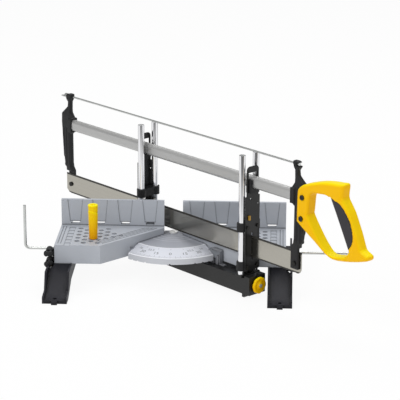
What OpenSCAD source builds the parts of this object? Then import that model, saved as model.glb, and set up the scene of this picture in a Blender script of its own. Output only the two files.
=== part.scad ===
// Clamping mitre box with a frame saw on two twin-post guides.
// Origin: centre of the four bench screw holes, on the bench. +Z up, +X along the fences.
// Heights named _z in the saw and arm sections are measured from the table top.

/* [Tables] */
// Length of each table past its leg's middle
table_over = 8.5; // [7.5:0.5:12]
// Depth of each table in front of the fence face
table_depth = 102; // [90:1:120]
// Height of the table casting
table_h = 30; // [28:1:34]
// Height of the table's underside above the bench
table_lift = 38; // [36:1:46]
// Thickness of the table top
deck_t = 4; // [3:0.5:6]
// Thickness of the walls under the table top
wall_t = 4; // [3:0.5:5]
// Gap between the two fences
fence_gap = 30; // [28:1:34]
// Room between a table's diagonal edge and the blade at its end stop
blade_room = 4.5; // [4:0.1:5.5]
// Height of the fence above the table
fence_h = 42.5; // [38:0.5:48]
// Thickness of the fence
fence_t = 6; // [5:0.5:8]
// Depth of the table behind the fence face
heel_d = 23; // [20:0.5:24]

/* [Fence panels] */
// Distance between the sunk panels
panel_pitch = 40; // [36:1:44]
// Distance from the gap to the first panel's middle
panel_inset = 22.7; // [20:0.1:26]
// Width of a panel at its top
panel_top_w = 25; // [20:0.5:28]
// Width of a panel at its foot
panel_low_w = 17.5; // [15:0.5:20]
// Depth of a panel
panel_sink = 0.8; // [0.4:0.1:1.5]
// Length of the slot under a panel
slot_l = 14; // [10:0.5:16]
// Height of the slot under a panel
slot_h = 3.8; // [2.5:0.1:3.8]

/* [Peg holes] */
// Diameter of a peg hole
peg_hole_d = 8.4; // [8:0.1:9]
// Distance between columns of peg holes
peg_pitch_x = 11.1; // [10.5:0.1:12]
// Distance between peg holes in a column
peg_pitch_y = 15.5; // [13:0.5:17]
// Distance from the table's end to the first column
peg_inset_x = 33; // [31:0.5:36]
// Distance from the fence to the first row
peg_inset_y = 18.5; // [15:0.5:20]
// Number of columns
peg_cols = 7; // [5:1:7]
// Number of columns that start at the first row
peg_full_cols = 5; // [3:1:7]

/* [Quadrant] */
// Outer radius of the quadrant
quadrant_r = 102.5; // [96:0.5:104]
// Radius where the graduated ring starts
ring_r = 70; // [64:0.5:76]
// Drop of the inner face below the table top
face_drop = 10; // [9:0.5:12]
// Drop of the ring's outer edge below the table top
ring_drop = 20; // [18:0.5:22]
// Drop of the rim's foot below the table top
rim_drop = 29; // [28:0.5:30]
// Half the angle of the outer edge, in degrees
quadrant_half_angle = 40.7; // [38:0.1:41]
// Radius of the bridge plate under the tables
bridge_r = 50; // [46:0.5:52]
// Thickness of the bridge plate
bridge_t = 3; // [2.5:0.1:3.5]

/* [Legs] */
// Room between the swung lock knob and a leg
leg_room = 1.3; // [1:0.1:4]
// Width of a leg
leg_w = 38; // [36:1:38]
// Reach of a leg's toe from the origin
leg_reach = 130; // [128:1:140]
// Thickness of a leg's side walls
leg_wall = 3; // [2.5:0.5:4]
// Diameter of a bench screw hole
bench_hole_d = 5.5; // [4:0.1:6.5]
// Distance of a bench screw hole from the origin, front and back
bench_hole_y = 123; // [118:1:124]
// Distance of the pivot behind the origin
pivot_back = 50; // [46:1:54]

/* [Swinging arm] */
// Angle of the saw from square at rest, in degrees
stop_turn = 45; // [45:45:45]
// Width of the beam
beam_w = 34; // [32:0.5:36]
// Height of the beam
beam_h = 26; // [22:0.5:27]
// Wall of the beam
beam_t = 2.5; // [2:0.1:3]
// Drop of the beam's top below the table top
beam_drop = 35; // [35:0.5:36]
// Room between a collar of the front posts and the table's front edge
post_room = 2; // [1.5:0.1:4]
// Distance from the pivot to the rear posts
rear_post_s = 62; // [62:0.5:66]
// Distance between the two posts of a pair
post_pitch = 28.7; // [28:0.1:30]
// Diameter of a post
post_d = 10; // [9:0.1:10.5]
// Height of the posts above the table top
post_top_z = 158.7; // [150:0.5:175]
// Diameter of the pivot bolt
pivot_d = 10; // [8:0.1:12]
// Diameter of the lock knob
knob_d = 27; // [24:0.5:27.5]
// Thickness of the lock knob
knob_t = 7; // [6:0.1:7.5]
// Drop of the lock screw's middle below the table top
stud_drop = 46; // [45:0.5:46.5]
// Diameter of the lock screw
stud_d = 6; // [5:0.1:7]

/* [Carriages] */
// Width of a guide plate
plate_w = 30; // [28:0.5:31]
// Thickness of a guide plate
plate_t = 2; // [1.5:0.1:2.5]
// Height of a guide plate's top above the table
plate_top_z = 141; // [138:0.5:144]
// Drop of a guide plate's foot below the table
plate_drop = 25; // [24.6:0.1:26]
// Width of a guide plate above the tube
plate_top_w = 24; // [22:0.5:27]
// Outer radius of a collar round its post
collar_r = 7.5; // [7:0.1:8]
// Height of the upper collar's middle above the table
upper_collar_z = 45; // [44:0.5:48]
// Height of an upper collar
upper_collar_h = 13.3; // [11:0.1:14]
// Drop of the lower collar's middle below the table
lower_collar_drop = 17.5; // [17:0.1:17.6]
// Height of a lower collar
lower_collar_h = 13.8; // [12:0.1:14]

/* [Saw] */
// Length of the blade
blade_l = 560; // [540:5:600]
// Height of the blade
blade_h = 34.8; // [32:0.2:36]
// Thickness of the blade
blade_t = 1; // [0.7:0.1:1.2]
// Drop of the teeth below the table top
blade_drop = 4.8; // [4:0.1:5]
// Middle of the blade in front of the pivot
saw_mid_s = 7; // [0:1:12]
// Width of the back tube
tube_w = 11; // [10:0.5:12]
// Height of the back tube
tube_h = 19.5; // [18:0.5:20.5]
// Height of the back tube's middle above the table
tube_z = 116.6; // [115:0.1:118]
// Wall of the back tube
tube_t = 1.2; // [1:0.1:1.6]
// Diameter of the tension rod
tension_d = 3; // [2.5:0.1:4]
// Height of the tension rod above the table
tension_z = 165.3; // [163:0.1:167]
// Length of the blade past a bracket's inner side
blade_over = 21.5; // [21:0.5:23]
// Width of a bracket along the saw
bracket_w = 28.5; // [28:0.5:30]
// Height of a bracket
bracket_h = 168; // [167:0.5:170]
// Height of a bracket's foot above the table
bracket_foot_z = 2; // [1:0.5:3]
// Thickness of a bracket
bracket_t = 10; // [9:0.5:12]

/* [Handle] */
// Length of the handle along the saw
handle_l = 143; // [140:1:150]
// Height of the handle
handle_h = 116.5; // [114:0.5:120]
// Thickness of the handle
handle_t = 20; // [19:0.5:26]
// Height of the handle's foot above the table
handle_z = 39; // [38:0.1:40]
// Distance from the front bracket's inner side to the handle
handle_lap = 16.2; // [15.8:0.1:16.6]

/* [Stops and peg] */
// Diameter of a length-stop rod
stop_d = 4.5; // [4:0.1:5]
// Length of a stop rod's level arm
stop_arm = 114; // [108:1:116]
// Height of a stop rod's upright arm
stop_rise = 70; // [50:1:76]
// Reach of the left stop rod past the table's end
left_stop_out = 48; // [36:1:60]
// Reach of the right stop rod past the table's end
right_stop_out = 102; // [70:1:104]
// Height of the cam peg above the table
peg_h = 56; // [50:1:65]
// Diameter of the cam peg at its top
peg_top_d = 16; // [14:0.5:17]
// Diameter of the cam peg at its foot
peg_low_d = 13; // [12:0.5:15]
// Offset of the cam peg from its spigot
peg_throw = 3.3; // [2:0.1:3.5]

/* [Hidden] */

// Fineness of round shapes, and the overrun of every cut
$fn = 48;
eps = 0.5;

// Clearances: a turning or sliding shaft, a screw in its hole, a loose seat, a fixed seat
run_fit = 0.05;
screw_fit = 0.1;
seat_fit = 0.3;
fixed_fit = 0.02;

// Screws that hold the castings together
screw_d = 4;
screw_head_d = 7.5;
screw_head_h = 2.4;
screw_bite = 10;
boss_d = 9.6;
bridge_bolt_share = [[0.62, 0.06], [0.8, -0.26]];
screw_hole_d = screw_d + 2 * screw_fit;
guide_bolt_d = 3;
small_hole_d = guide_bolt_d + 2 * screw_fit;

// Places along the arm: the front posts clear the table's front edge, the housing and the knob follow
beam_over = 10;
beam_tail = 18;
housing_l = 11;
knob_gap = 0.3;
front_post_s = sqrt(2) * (table_depth + collar_r + post_room) + post_pitch / 2;
beam_front_s = front_post_s + beam_over;
beam_back_s = rear_post_s + beam_tail;
housing_front_s = beam_front_s + housing_l;
knob_back_s = housing_front_s + knob_gap;
knob_front_s = knob_back_s + knob_t;

// Heights and plan places: the legs stand clear of the swung knob, and the tables reach past them
leg_x = (knob_front_s + knob_d / 2) / sqrt(2) + leg_w / 2 + leg_room;
deck_z = table_lift + table_h;
half_gap = fence_gap / 2;
half_span = leg_x + table_over;
diag_c = blade_room * sqrt(2);
wall_skew = wall_t * sqrt(2);
heel_bevel = half_gap - fence_t;
corner_x = diag_c + table_depth;
diag_l = (table_depth - half_gap + diag_c) * sqrt(2);
table_outline = [
    [half_span, -table_depth], [corner_x, -table_depth], [half_gap, diag_c - half_gap],
    [half_gap, fence_t], [heel_d + heel_bevel, heel_d], [half_span, heel_d]
];
hollow_in = half_gap + wall_t;
hollow_front = -table_depth + wall_t;
hollow_back = heel_d - wall_t;
table_hollow = [
    [half_span - wall_t, hollow_front], [diag_c + wall_skew - hollow_front, hollow_front],
    [hollow_in, diag_c + wall_skew - hollow_in], [hollow_in, hollow_in - heel_bevel - wall_skew],
    [hollow_back + heel_bevel + wall_skew, hollow_back], [half_span - wall_t, hollow_back]
];

// Fence: the slots' height, the panels' foot, the ribs behind, and the panels' count
slot_z = 2.2;
panel_foot_z = 6.2;
rib_t = 3;
rib_h = 0.85 * fence_h;
panel_count = floor((half_span - half_gap - panel_inset) / panel_pitch) + 1;

// Fine relief of the table top: grooves beside the diagonal and along the end, and a ladder
groove_w = 1.3;
groove_depth = 0.6;
groove_offsets = [6, 10.5, 15, 19.5];
groove_start = 3;
groove_end_share = 0.93;
end_grooves = [4, 8.5];
ladder_x = 19.5;
ladder_w = 10;
ladder_gap = 3;
rung_w = peg_pitch_y - ladder_gap;
ladder_rows = 6;

// Quadrant
shell_t = 4;
shell_step = 2.4;
face_fall = 2.5;
rim_t = 4.5;
quadrant_back = 11;
quadrant_fit = 0.2;
quadrant_side_share = [0.517, 0.455];
pivot_boss_d = 24;
quadrant_bolt_r = 32;
quadrant_bolt_turns = [-24, 24];
detent_turns = [-36, -30, -22.5, 0, 22.5, 30, 36];
detent_d = 3;

// Pivot
pivot_head_d = 14;
pivot_head_h = 3.8;
pivot_washer_d = 24;
pivot_nut_d = 17;
pivot_nut_h = 7;
pivot_fit = 0.1;

// Legs: side walls and web as shares of the toe's reach and of the table's lift
leg_side_share = [
    [0, 1], [0.7, 1], [0.72, 0.9], [0.8, 0.33], [0.985, 0.28], [1, 0.22], [1, 0], [0.84, 0], [0.68, 0.2],
    [0.5, 0.45], [0, 0.5]
];
leg_web_share = [
    [0, 1], [0.4, 1], [0.79, 0.21], [1, 0.14], [1, 0], [0.84, 0], [0.37, 0.9], [0, 0.9]
];
leg_top_t = table_lift * (1 - leg_web_share[7][1]);
toe_tab_w = 9;
toe_tab_l = 5;
toe_tab_h = 5;

// Clamp blocks on the table ends
clamp_t = 3;
clamp_in = 8;
clamp_l = 28;
clamp_y = [clamp_in - table_depth, clamp_in + clamp_l - table_depth];
clamp_z = [-29.8, -9.3];
clamp_back_z = -16.4;
clamp_rod_room = 6;
stop_in = 22;
stop_y = stop_in - table_depth;
stop_z = -13;
leg_bolt_room = 15;
leg_bolt_y = 15;
leg_bolts = [pivot_back + stop_y + leg_bolt_room, leg_bolt_y];
clamp_screw_x = 9;
clamp_boss_d = 11;
clamp_boss_l = 18;
clamp_boss_gap = 1.2;
lock_z = -29.4;
clamp_bolts_in = [12, 30.5];
clamp_bolt_y = [for (v = clamp_bolts_in) v - table_depth];
clamp_bolt_z = -22;
clamp_bolt_bite = 4;
tongue_w = 7;
tongue_h = 10;
tongue_in = 18.1;
tongue_y = tongue_in - table_depth;

// Wing screws and the wing nut
wing_shank_d = 5;
wing_span = 14.5;
wing_rise = 12.5;
wing_t = 5;
wing_hub_d = 7.5;
wing_hub_l = 2;
wing_room = 1;
wing_share = [[0, 0.2], [0.32, 0.5], [0.5, 0.3], [0.5, -0.3], [0.32, -0.5], [0, -0.2]];
lock_tilt = 28;
nut_wing_share = [1, 0.7];

// Stop rods and cam peg
stop_bend_r = 7;
spigot_l = 9;
peg_bore_d = 7;
peg_bore_l = 14;
peg_foot_gap = 0.2;
peg_col = 2;
peg_row = 3;
peg_throw_turn = -42;

// Beam, its foot and its openings
foot_l = 5;
foot_h = 5;
base_h = 4;
base_l = 13;
base_w = 40;
base_bolts = [-4, 4];
base_head_d = 7;
hood_l = 5;
hood_in = 1.5;
hood_n = [-1, 6];
hood_top_z = -28;
housing_bolts = [-11, 11];
housing_bore_l = 10;
housing_rise = 3.5;
housing_bolt_z = -54;
shoe_gap = 1.05;
shoe_l = 6;
shoe_w = 8;
shoe_slack = 1.5;
shoe_top_gap = 1;
knob_flutes = 8;
flute_d = 9;
flute_depth = 1.6;
knob_wall = 4;
knob_screw_head_d = 5.6;
pointer_t = 1.2;
pointer_w = 7;
pointer_foot_l = 9;
pointer_gap = 2.6;
pointer_reach_s = 86;
pointer_riser_s = 111;
leaf_t = 0.8;
leaf_w = 9;
leaf_s = [80, 101];
leaf_bump_d = 4;
leaf_bump_s = 98.5;
leaf_bolt_s = 84;
leaf_gap = 0.4;

// Guide plates: corners, tube window, blade slot and screws
plate_corner_r = 6;
plate_seat = 7;
window_w = 18;
window_z = [99.5, 131.5];
plate_step_z = 94;
blade_slot_w = 2.4;
blade_slot_z = [-9, 36];
guide_bolt_n = 10.5;
guide_bolt_bite = 2.2;
guide_head_d = 5.6;
guide_head_h = 2.2;
plate_hole_d = 2.6;
plate_holes = [[-4, 90], [12, 80]];
guide_t = 6;
guide_out = 5;
guide_top_z = 121;
guide_room = 0.35;
latch_n = -8;
latch_z = 60.5;
latch_w = 3.2;
latch_h = 7;
latch_t = 2.6;
latch_pin_d = 2.4;
latch_lift = 0.1;

// Brackets, as shares of their width and height from the inner side and the foot
bracket_in = blade_l / 2 - blade_over;
bracket_share = [
    [0.105, 1], [0.1, 0.976], [0.21, 0.923], [0.24, 0.804], [0, 0.741], [0, 0.622], [0.233, 0.586],
    [0.226, 0.244], [0.07, 0.208], [0.06, 0.19], [0.61, 0.19], [0.627, 0.232], [0.784, 0.25],
    [0.86, 0.351], [1, 0.702], [0.98, 0.789], [0.48, 0.869], [0.453, 0.917], [0.557, 0.95],
    [0.557, 0.985], [0.4, 1]
];
foot_share = [[0.06, 0], [0.06, 0.19], [0.61, 0.19], [0.6, 0]];
socket_w = 15;
socket_h = 25;
socket_l = 9.5;
tube_in = 8;
hook_share = [0.36, 0.82];
hook_h = 5;
blade_corner = 7;
blade_bolt_in = 10;
blade_bolt_z = 11.5;
blade_bolt_d = 4;
blade_head_d = 7.5;
blade_head_h = 2;
tension_head_d = 5.5;
tension_head_l = 3;

// Handle, as shares of its length and height from the bracket side and the foot
handle_share = [
    [0, 0.385], [0.02, 0.781], [0.041, 0.826], [0.076, 0.852], [0.124, 0.878], [0.244, 0.927],
    [0.352, 0.963], [0.459, 0.987], [0.562, 1], [0.645, 0.999], [0.636, 0.839], [0.676, 0.761],
    [0.731, 0.668], [0.787, 0.536], [0.843, 0.403], [0.891, 0.269], [0.915, 0.228], [0.99, 0.187],
    [1, 0.158], [0.978, 0.118], [0.829, 0.062], [0.652, 0.015], [0.555, 0], [0.491, 0.004],
    [0.436, 0.028], [0.38, 0.061], [0.269, 0.148], [0.157, 0.229], [0.019, 0.336]
];
hole_share = [
    [0.163, 0.524], [0.181, 0.76], [0.194, 0.803], [0.229, 0.827], [0.338, 0.834], [0.412, 0.84],
    [0.467, 0.826], [0.51, 0.785], [0.73, 0.203], [0.731, 0.159], [0.708, 0.112], [0.652, 0.077],
    [0.518, 0.045], [0.464, 0.052], [0.408, 0.097], [0.306, 0.229], [0.167, 0.458]
];
insert_share = [
    [0.51, 0.785], [0.553, 0.791], [0.618, 0.75], [0.694, 0.665], [0.75, 0.563], [0.79, 0.444],
    [0.799, 0.348], [0.78, 0.264], [0.74, 0.204], [0.73, 0.203]
];
handle_steps = [[0, 0.66], [1, 0.86], [2.6, 1]];
handle_fit = 0.2;
lug_w = 7;
lug_wall = 8.5;
handle_bolts_share = [[0.087, 0.691], [0.075, 0.408]];
handle_bolt_d = 5;
handle_head_d = 8;
handle_head_h = 1.6;
insert_inset = 1;
lug_low_z = handle_z + handle_h * handle_bolts_share[1][1] - lug_wall;
lug_top_z = handle_z + handle_h * handle_bolts_share[0][1] + lug_wall;

function scaled(points, w, h) = [for (p = points) [p[0] * w, p[1] * h]];

// Frames: the pivot on the bench, the pivot at table height, and the swinging arm
module at_pivot() translate([0, pivot_back, 0]) children();
module at_deck() translate([0, pivot_back, deck_z]) children();
module on_arm() at_deck() rotate([0, 0, -stop_turn]) children();
module left_side() mirror([1, 0, 0]) children();
module both_sides() {
    children();
    mirror([1, 0, 0]) children();
}

// Shapes used by many pieces
module along_x(d, l) rotate([0, 90, 0]) cylinder(d = d, h = l);
module along_y(d, l) rotate([-90, 0, 0]) cylinder(d = d, h = l);
module block(low, high) translate(low) cube(high - low);
module pan_screw(d, l, head_d, head_h) {
    translate([0, 0, -l]) cylinder(d = d, h = l + head_h / 2);
    cylinder(d = head_d, h = head_h);
}
module stadium(w, h) {
    square([w, h - w], center = true);
    for (side = [-1, 1]) translate([0, side * (h - w) / 2]) circle(d = w);
}
module side_face(points, t) rotate([90, 0, 0]) translate([0, 0, -t / 2]) linear_extrude(t) polygon(points);

// Tables with their fences, drawn for the right side
module peg_places() {
    low = -table_depth + wall_t + peg_hole_d / 2;
    rows = ceil(table_depth / peg_pitch_y);
    for (i = [0 : peg_cols - 1], j = [0 : rows]) {
        x = half_span - peg_inset_x - i * peg_pitch_x;
        y = -peg_inset_y - (j + (i % 2) / 2) * peg_pitch_y;
        in_field = j > i - peg_full_cols && y > low && x + y > diag_c + (wall_t + peg_hole_d) * sqrt(2);
        if (in_field) translate([x, y, 0]) children();
    }
}
module fence_relief() {
    face = [
        [-panel_low_w / 2, panel_foot_z], [panel_low_w / 2, panel_foot_z],
        [panel_top_w / 2, fence_h + eps], [-panel_top_w / 2, fence_h + eps]
    ];
    for (k = [0 : panel_count - 1]) translate([half_gap + panel_inset + k * panel_pitch, 0, table_h]) {
        rotate([90, 0, 0]) translate([0, 0, -panel_sink]) linear_extrude(panel_sink + eps) polygon(face);
        block([-slot_l / 2, -eps, slot_z], [slot_l / 2, fence_t + eps, slot_z + slot_h]);
        block([-slot_l / 2, fence_t, -deck_t - eps], [slot_l / 2, heel_d + eps, slot_z + slot_h]);
    }
}
module fence_ribs() {
    face = [[fence_t - eps, 0], [heel_d, 0], [fence_t, rib_h], [fence_t - eps, rib_h]];
    for (k = [1 : panel_count])
        translate([min(half_gap + panel_inset + (k - 0.5) * panel_pitch, half_span - rib_t / 2), 0, table_h])
            rotate([90, 0, 90]) translate([0, 0, -rib_t / 2]) linear_extrude(rib_t) polygon(face);
}
module deck_relief() {
    top = table_h - groove_depth;
    for (g = groove_offsets)
        translate([half_gap, diag_c - half_gap, top]) rotate([0, 0, -45])
            translate([g + groove_start, g, 0])
                cube([diag_l * groove_end_share - g - groove_start, groove_w, groove_depth + eps]);
    for (g = end_grooves)
        translate([half_span - g - groove_w, -table_depth + peg_hole_d, top])
            cube([groove_w, table_depth - 2 * peg_hole_d, groove_depth + eps]);
    for (k = [0 : ladder_rows - 1])
        translate([half_span - ladder_x, -peg_inset_y - k * peg_pitch_y, top])
            translate([-ladder_w / 2, -rung_w / 2, 0]) cube([ladder_w, rung_w, groove_depth + eps]);
}
module table_bosses(d, z, l) {
    translate([0, 0, z]) bridge_bolt_places() cylinder(d = d, h = l);
    for (y = leg_bolts) translate([leg_x, y - pivot_back, z]) cylinder(d = d, h = l);
}
module table_casting() at_pivot() translate([0, 0, table_lift]) difference() {
    union() {
        difference() {
            linear_extrude(table_h) polygon(table_outline);
            translate([0, 0, -eps]) linear_extrude(table_h - deck_t + eps) polygon(table_hollow);
        }
        table_bosses(boss_d, 0, table_h - deck_t / 2);
        block([half_gap, 0, table_h - eps], [half_span, fence_t, table_h + fence_h]);
        fence_ribs();
    }
    table_bosses(screw_hole_d, -eps, screw_bite + 2 * eps);
    peg_places() cylinder(d = peg_hole_d, h = table_h + eps);
    fence_relief();
    deck_relief();
    translate([half_span - wall_t - eps, 0, table_h]) {
        translate([0, stop_y, stop_z]) along_x(stop_d + 2 * run_fit, wall_t + 2 * eps);
        for (y = clamp_bolt_y) translate([0, y, clamp_bolt_z]) along_x(screw_hole_d, wall_t + 2 * eps);
    }
}
module right_table() color("darkgray") table_casting();
module left_table() color("darkgray") left_side() table_casting();

// Bridge plate: a disc under both tables and the quadrant, with the pivot through it
module bridge_bolt_places() for (p = bridge_bolt_share)
    translate([p[0] * bridge_r, p[1] * bridge_r, 0]) children();
module quadrant_bolt_places() for (a = quadrant_bolt_turns)
    rotate([0, 0, a]) translate([0, -quadrant_bolt_r, 0]) children();
module bridge_plate() color("dimgray") at_pivot() translate([0, 0, table_lift - bridge_t]) difference() {
    cylinder(r = bridge_r, h = bridge_t, $fn = 96);
    translate([0, 0, -eps]) cylinder(d = pivot_d + 2 * run_fit, h = bridge_t + 2 * eps);
    translate([0, 0, -eps]) {
        both_sides() bridge_bolt_places() cylinder(d = screw_hole_d, h = bridge_t + 2 * eps);
        quadrant_bolt_places() cylinder(d = screw_hole_d, h = bridge_t + 2 * eps);
    }
}
module bridge_screws() color("silver") at_pivot() translate([0, 0, table_lift - bridge_t]) both_sides()
    bridge_bolt_places() cylinder(d = screw_d, h = bridge_t + screw_bite);

// Quadrant: a thin casting with a sloping graduated ring, a rim and a pivot boss
module quadrant_plan() {
    reach = quadrant_r / cos(quadrant_half_angle);
    outer = [reach * sin(quadrant_half_angle), -reach * cos(quadrant_half_angle)];
    corner = [quadrant_r * sin(quadrant_half_angle), -quadrant_r * cos(quadrant_half_angle)];
    edge = half_gap - quadrant_fit;
    side = quadrant_r * quadrant_side_share;
    low = -quadrant_r - eps;
    polygon([
        [edge, quadrant_back], [edge, diag_c - half_gap - quadrant_fit], [side[0], -side[1] - quadrant_fit],
        corner, [corner[0], low], [-corner[0], low], [-corner[0], corner[1]],
        [-side[0], -side[1] - quadrant_fit], [-edge, diag_c - half_gap - quadrant_fit], [-edge, quadrant_back]
    ]);
}
module quadrant() color("gainsboro") at_deck() difference() {
    union() {
        intersection() {
            rotate_extrude($fn = 192) polygon([
                [0, -face_drop], [ring_r, -face_drop - face_fall], [quadrant_r, -ring_drop],
                [quadrant_r, -rim_drop], [quadrant_r - rim_t, -rim_drop],
                [quadrant_r - rim_t, -ring_drop - shell_t + rim_t / 2],
                [ring_r - shell_t / 2, -face_drop - shell_t - shell_step], [0, -face_drop - shell_t]
            ]);
            translate([0, 0, -table_h]) linear_extrude(table_h) quadrant_plan();
        }
        translate([0, 0, -table_h]) cylinder(d = pivot_boss_d, h = table_h - face_drop - shell_t / 2);
        translate([0, 0, -table_h]) quadrant_bolt_places()
            cylinder(d = boss_d, h = table_h - face_drop - shell_t / 2);
    }
    translate([0, 0, -table_h - eps]) cylinder(d = pivot_d + 2 * run_fit, h = table_h);
    translate([0, 0, -table_h - eps]) quadrant_bolt_places()
        cylinder(d = screw_hole_d, h = screw_bite + 2 * eps);
    for (a = detent_turns) rotate([0, 0, a]) translate([0, -quadrant_r - eps, -rim_drop])
        along_y(detent_d, rim_t + 2 * eps);
}
module quadrant_screws() color("silver") at_pivot() translate([0, 0, table_lift - bridge_t])
    quadrant_bolt_places() cylinder(d = screw_d, h = bridge_t + screw_bite);

// Legs: two side walls and a web that slopes down to the toe, the same to the front and the back
module leg_profile(share) both_ends() polygon(scaled(share, leg_reach, table_lift));
module both_ends() {
    children();
    mirror([1, 0]) children();
}
module leg_slab(share, t) rotate([90, 0, 90]) linear_extrude(t) leg_profile(share);
module leg() difference() {
    union() {
        for (x = [-leg_w / 2, leg_w / 2 - leg_wall])
            translate([leg_x + x, 0, 0]) leg_slab(leg_side_share, leg_wall);
        translate([leg_x - leg_w / 2 + eps, 0, 0]) leg_slab(leg_web_share, leg_w - 2 * eps);
        for (side = [-1, 1]) translate([leg_x, side * (leg_reach + toe_tab_l / 2), 0])
            translate([-toe_tab_w / 2, -toe_tab_l / 2 - eps, 0])
                cube([toe_tab_w, toe_tab_l + 2 * eps, toe_tab_h]);
        block([leg_x + leg_w / 2 - leg_wall, pivot_back + tongue_y, table_lift - tongue_h],
            [leg_x + leg_w / 2, pivot_back + tongue_y + tongue_w, table_lift + tongue_h / 2]);
    }
    for (side = [-1, 1])
        translate([leg_x, side * bench_hole_y, -eps]) cylinder(d = bench_hole_d, h = table_lift);
    for (y = leg_bolts) translate([leg_x, y, 0]) cylinder(d = screw_hole_d, h = table_lift + eps);
    at_deck() translate([half_span + clamp_screw_x, tongue_y - clamp_boss_l - wing_hub_l, lock_z]) {
        along_y(clamp_boss_d + 2 * seat_fit, clamp_boss_l + wing_hub_l);
        translate([0, -wing_t - 2 * wing_room, 0])
            along_y(wing_span + 2 * wing_room, wing_t + wing_hub_l + 2 * wing_room);
    }
}
module right_leg() color("#37363b") leg();
module left_leg() color("#37363b") left_side() leg();
module leg_screws() color("silver") both_sides() for (y = leg_bolts)
    translate([leg_x, y, table_lift + screw_bite]) mirror([0, 0, 1]) {
        cylinder(d = screw_d, h = screw_bite + leg_top_t + screw_fit);
        translate([0, 0, screw_bite + leg_top_t + screw_fit]) cylinder(d = screw_head_d, h = screw_head_h);
    }

// Clamp blocks: each holds a stop rod and carries two wing screws
module clamp_block() at_deck() difference() {
    union() {
        block([half_span, clamp_y[0], clamp_z[0]], [half_span + clamp_t, clamp_y[1], clamp_back_z]);
        block([half_span, clamp_y[0], clamp_z[0]],
            [half_span + clamp_t, stop_y + clamp_rod_room, clamp_z[1]]);
        for (z = [stop_z, lock_z]) translate([half_span + clamp_screw_x, tongue_y - clamp_boss_l, z])
            along_y(clamp_boss_d, clamp_boss_l - (z == stop_z ? clamp_boss_gap - seat_fit : seat_fit));
        block([half_span, clamp_y[0], stop_z - clamp_boss_d / 2],
            [half_span + clamp_screw_x, tongue_y - clamp_boss_gap, stop_z + clamp_boss_d / 4]);
        block([half_span, clamp_y[0], clamp_z[0]],
            [half_span + clamp_screw_x, tongue_y - clamp_boss_gap, lock_z + clamp_boss_d / 4]);
    }
    translate([half_span - eps, stop_y, stop_z]) along_x(stop_d + 2 * run_fit, clamp_t + 2 * eps);
    for (z = [stop_z, lock_z]) translate([half_span + clamp_screw_x, tongue_y - clamp_boss_l - eps, z])
        along_y(wing_shank_d + 2 * run_fit, clamp_boss_l + 2 * eps);
    for (y = clamp_bolt_y) translate([half_span - eps, y, clamp_bolt_z])
        along_x(screw_hole_d, clamp_t + clamp_screw_x + 2 * eps);
    for (y = clamp_bolt_y) translate([half_span + clamp_t, y, clamp_bolt_z])
        along_x(screw_head_d + 2 * screw_fit, clamp_screw_x + clamp_boss_d);
}
module right_clamp_block() color("#2f2f31") clamp_block();
module left_clamp_block() color("#2f2f31") left_side() clamp_block();
module clamp_block_screws() color("silver") at_deck() both_sides() for (y = clamp_bolt_y)
    translate([half_span + clamp_t, y, clamp_bolt_z]) rotate([0, 90, 0])
        pan_screw(screw_d, clamp_t + clamp_bolt_bite, screw_head_d, screw_head_h);

// Wing screw: shank towards +Z, wings below the hub
module wing_face() {
    half = [for (p = wing_share) [p[0] * wing_span, p[1] * wing_rise]];
    polygon(half);
    mirror([1, 0]) polygon(half);
}
module wing_screw(l, turn) {
    translate([0, 0, -wing_hub_l]) cylinder(d = wing_shank_d, h = l + wing_hub_l);
    translate([0, 0, -wing_hub_l]) cylinder(d = wing_hub_d, h = wing_hub_l);
    translate([0, 0, -wing_hub_l - wing_t]) rotate([0, 0, turn]) linear_extrude(wing_t) wing_face();
    translate([0, 0, -wing_hub_l - wing_t]) cylinder(d = wing_hub_d, h = wing_t);
}
module side_screw(z, l, turn) at_deck()
    translate([half_span + clamp_screw_x, tongue_y - clamp_boss_l - seat_fit, z])
        rotate([-90, 0, 0]) wing_screw(l, turn);
stop_screw_l = stop_y - stop_d / 2 - tongue_y + clamp_boss_l;
lock_screw_l = clamp_boss_l;
module right_stop_screw() color("#2a2a2c") side_screw(stop_z, stop_screw_l, 0);
module left_stop_screw() color("#2a2a2c") left_side() side_screw(stop_z, stop_screw_l, 0);
module right_leg_lock() color("#2a2a2c") side_screw(lock_z, lock_screw_l, lock_tilt);
module left_leg_lock() color("#2a2a2c") left_side() side_screw(lock_z, lock_screw_l, lock_tilt);

// Length-stop rods: one level arm, one bend, one upright arm
module stop_rod(reach) at_deck() translate([0, stop_y, stop_z]) {
    translate([reach - stop_arm, 0, 0]) along_x(stop_d, stop_arm - stop_bend_r);
    translate([reach - stop_bend_r, 0, stop_bend_r]) rotate([90, 0, 0])
        rotate([0, 0, -90]) rotate_extrude(angle = 90) translate([stop_bend_r, 0]) circle(d = stop_d);
    translate([reach, 0, stop_bend_r]) cylinder(d = stop_d, h = stop_rise - stop_bend_r);
}
module right_stop_rod() color("lightgray") stop_rod(half_span + right_stop_out);
module left_stop_rod() color("lightgray") left_side() stop_rod(half_span + left_stop_out);

// Cam peg: a tapered hollow post on an offset spigot
peg_hole_x = half_span - peg_inset_x - peg_col * peg_pitch_x;
peg_hole_y = -peg_inset_y - peg_row * peg_pitch_y;
module cam_peg() color("#ebbc00") at_deck() translate([-peg_hole_x, peg_hole_y, 0]) {
    translate([0, 0, -spigot_l]) cylinder(d = peg_hole_d - 4 * run_fit, h = spigot_l + peg_foot_gap + eps);
    rotate([0, 0, peg_throw_turn]) translate([peg_throw, 0, peg_foot_gap]) difference() {
        cylinder(d1 = peg_low_d, d2 = peg_top_d, h = peg_h - peg_foot_gap);
        translate([0, 0, peg_h - peg_bore_l]) cylinder(d = peg_bore_d, h = peg_bore_l + eps);
    }
}

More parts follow.
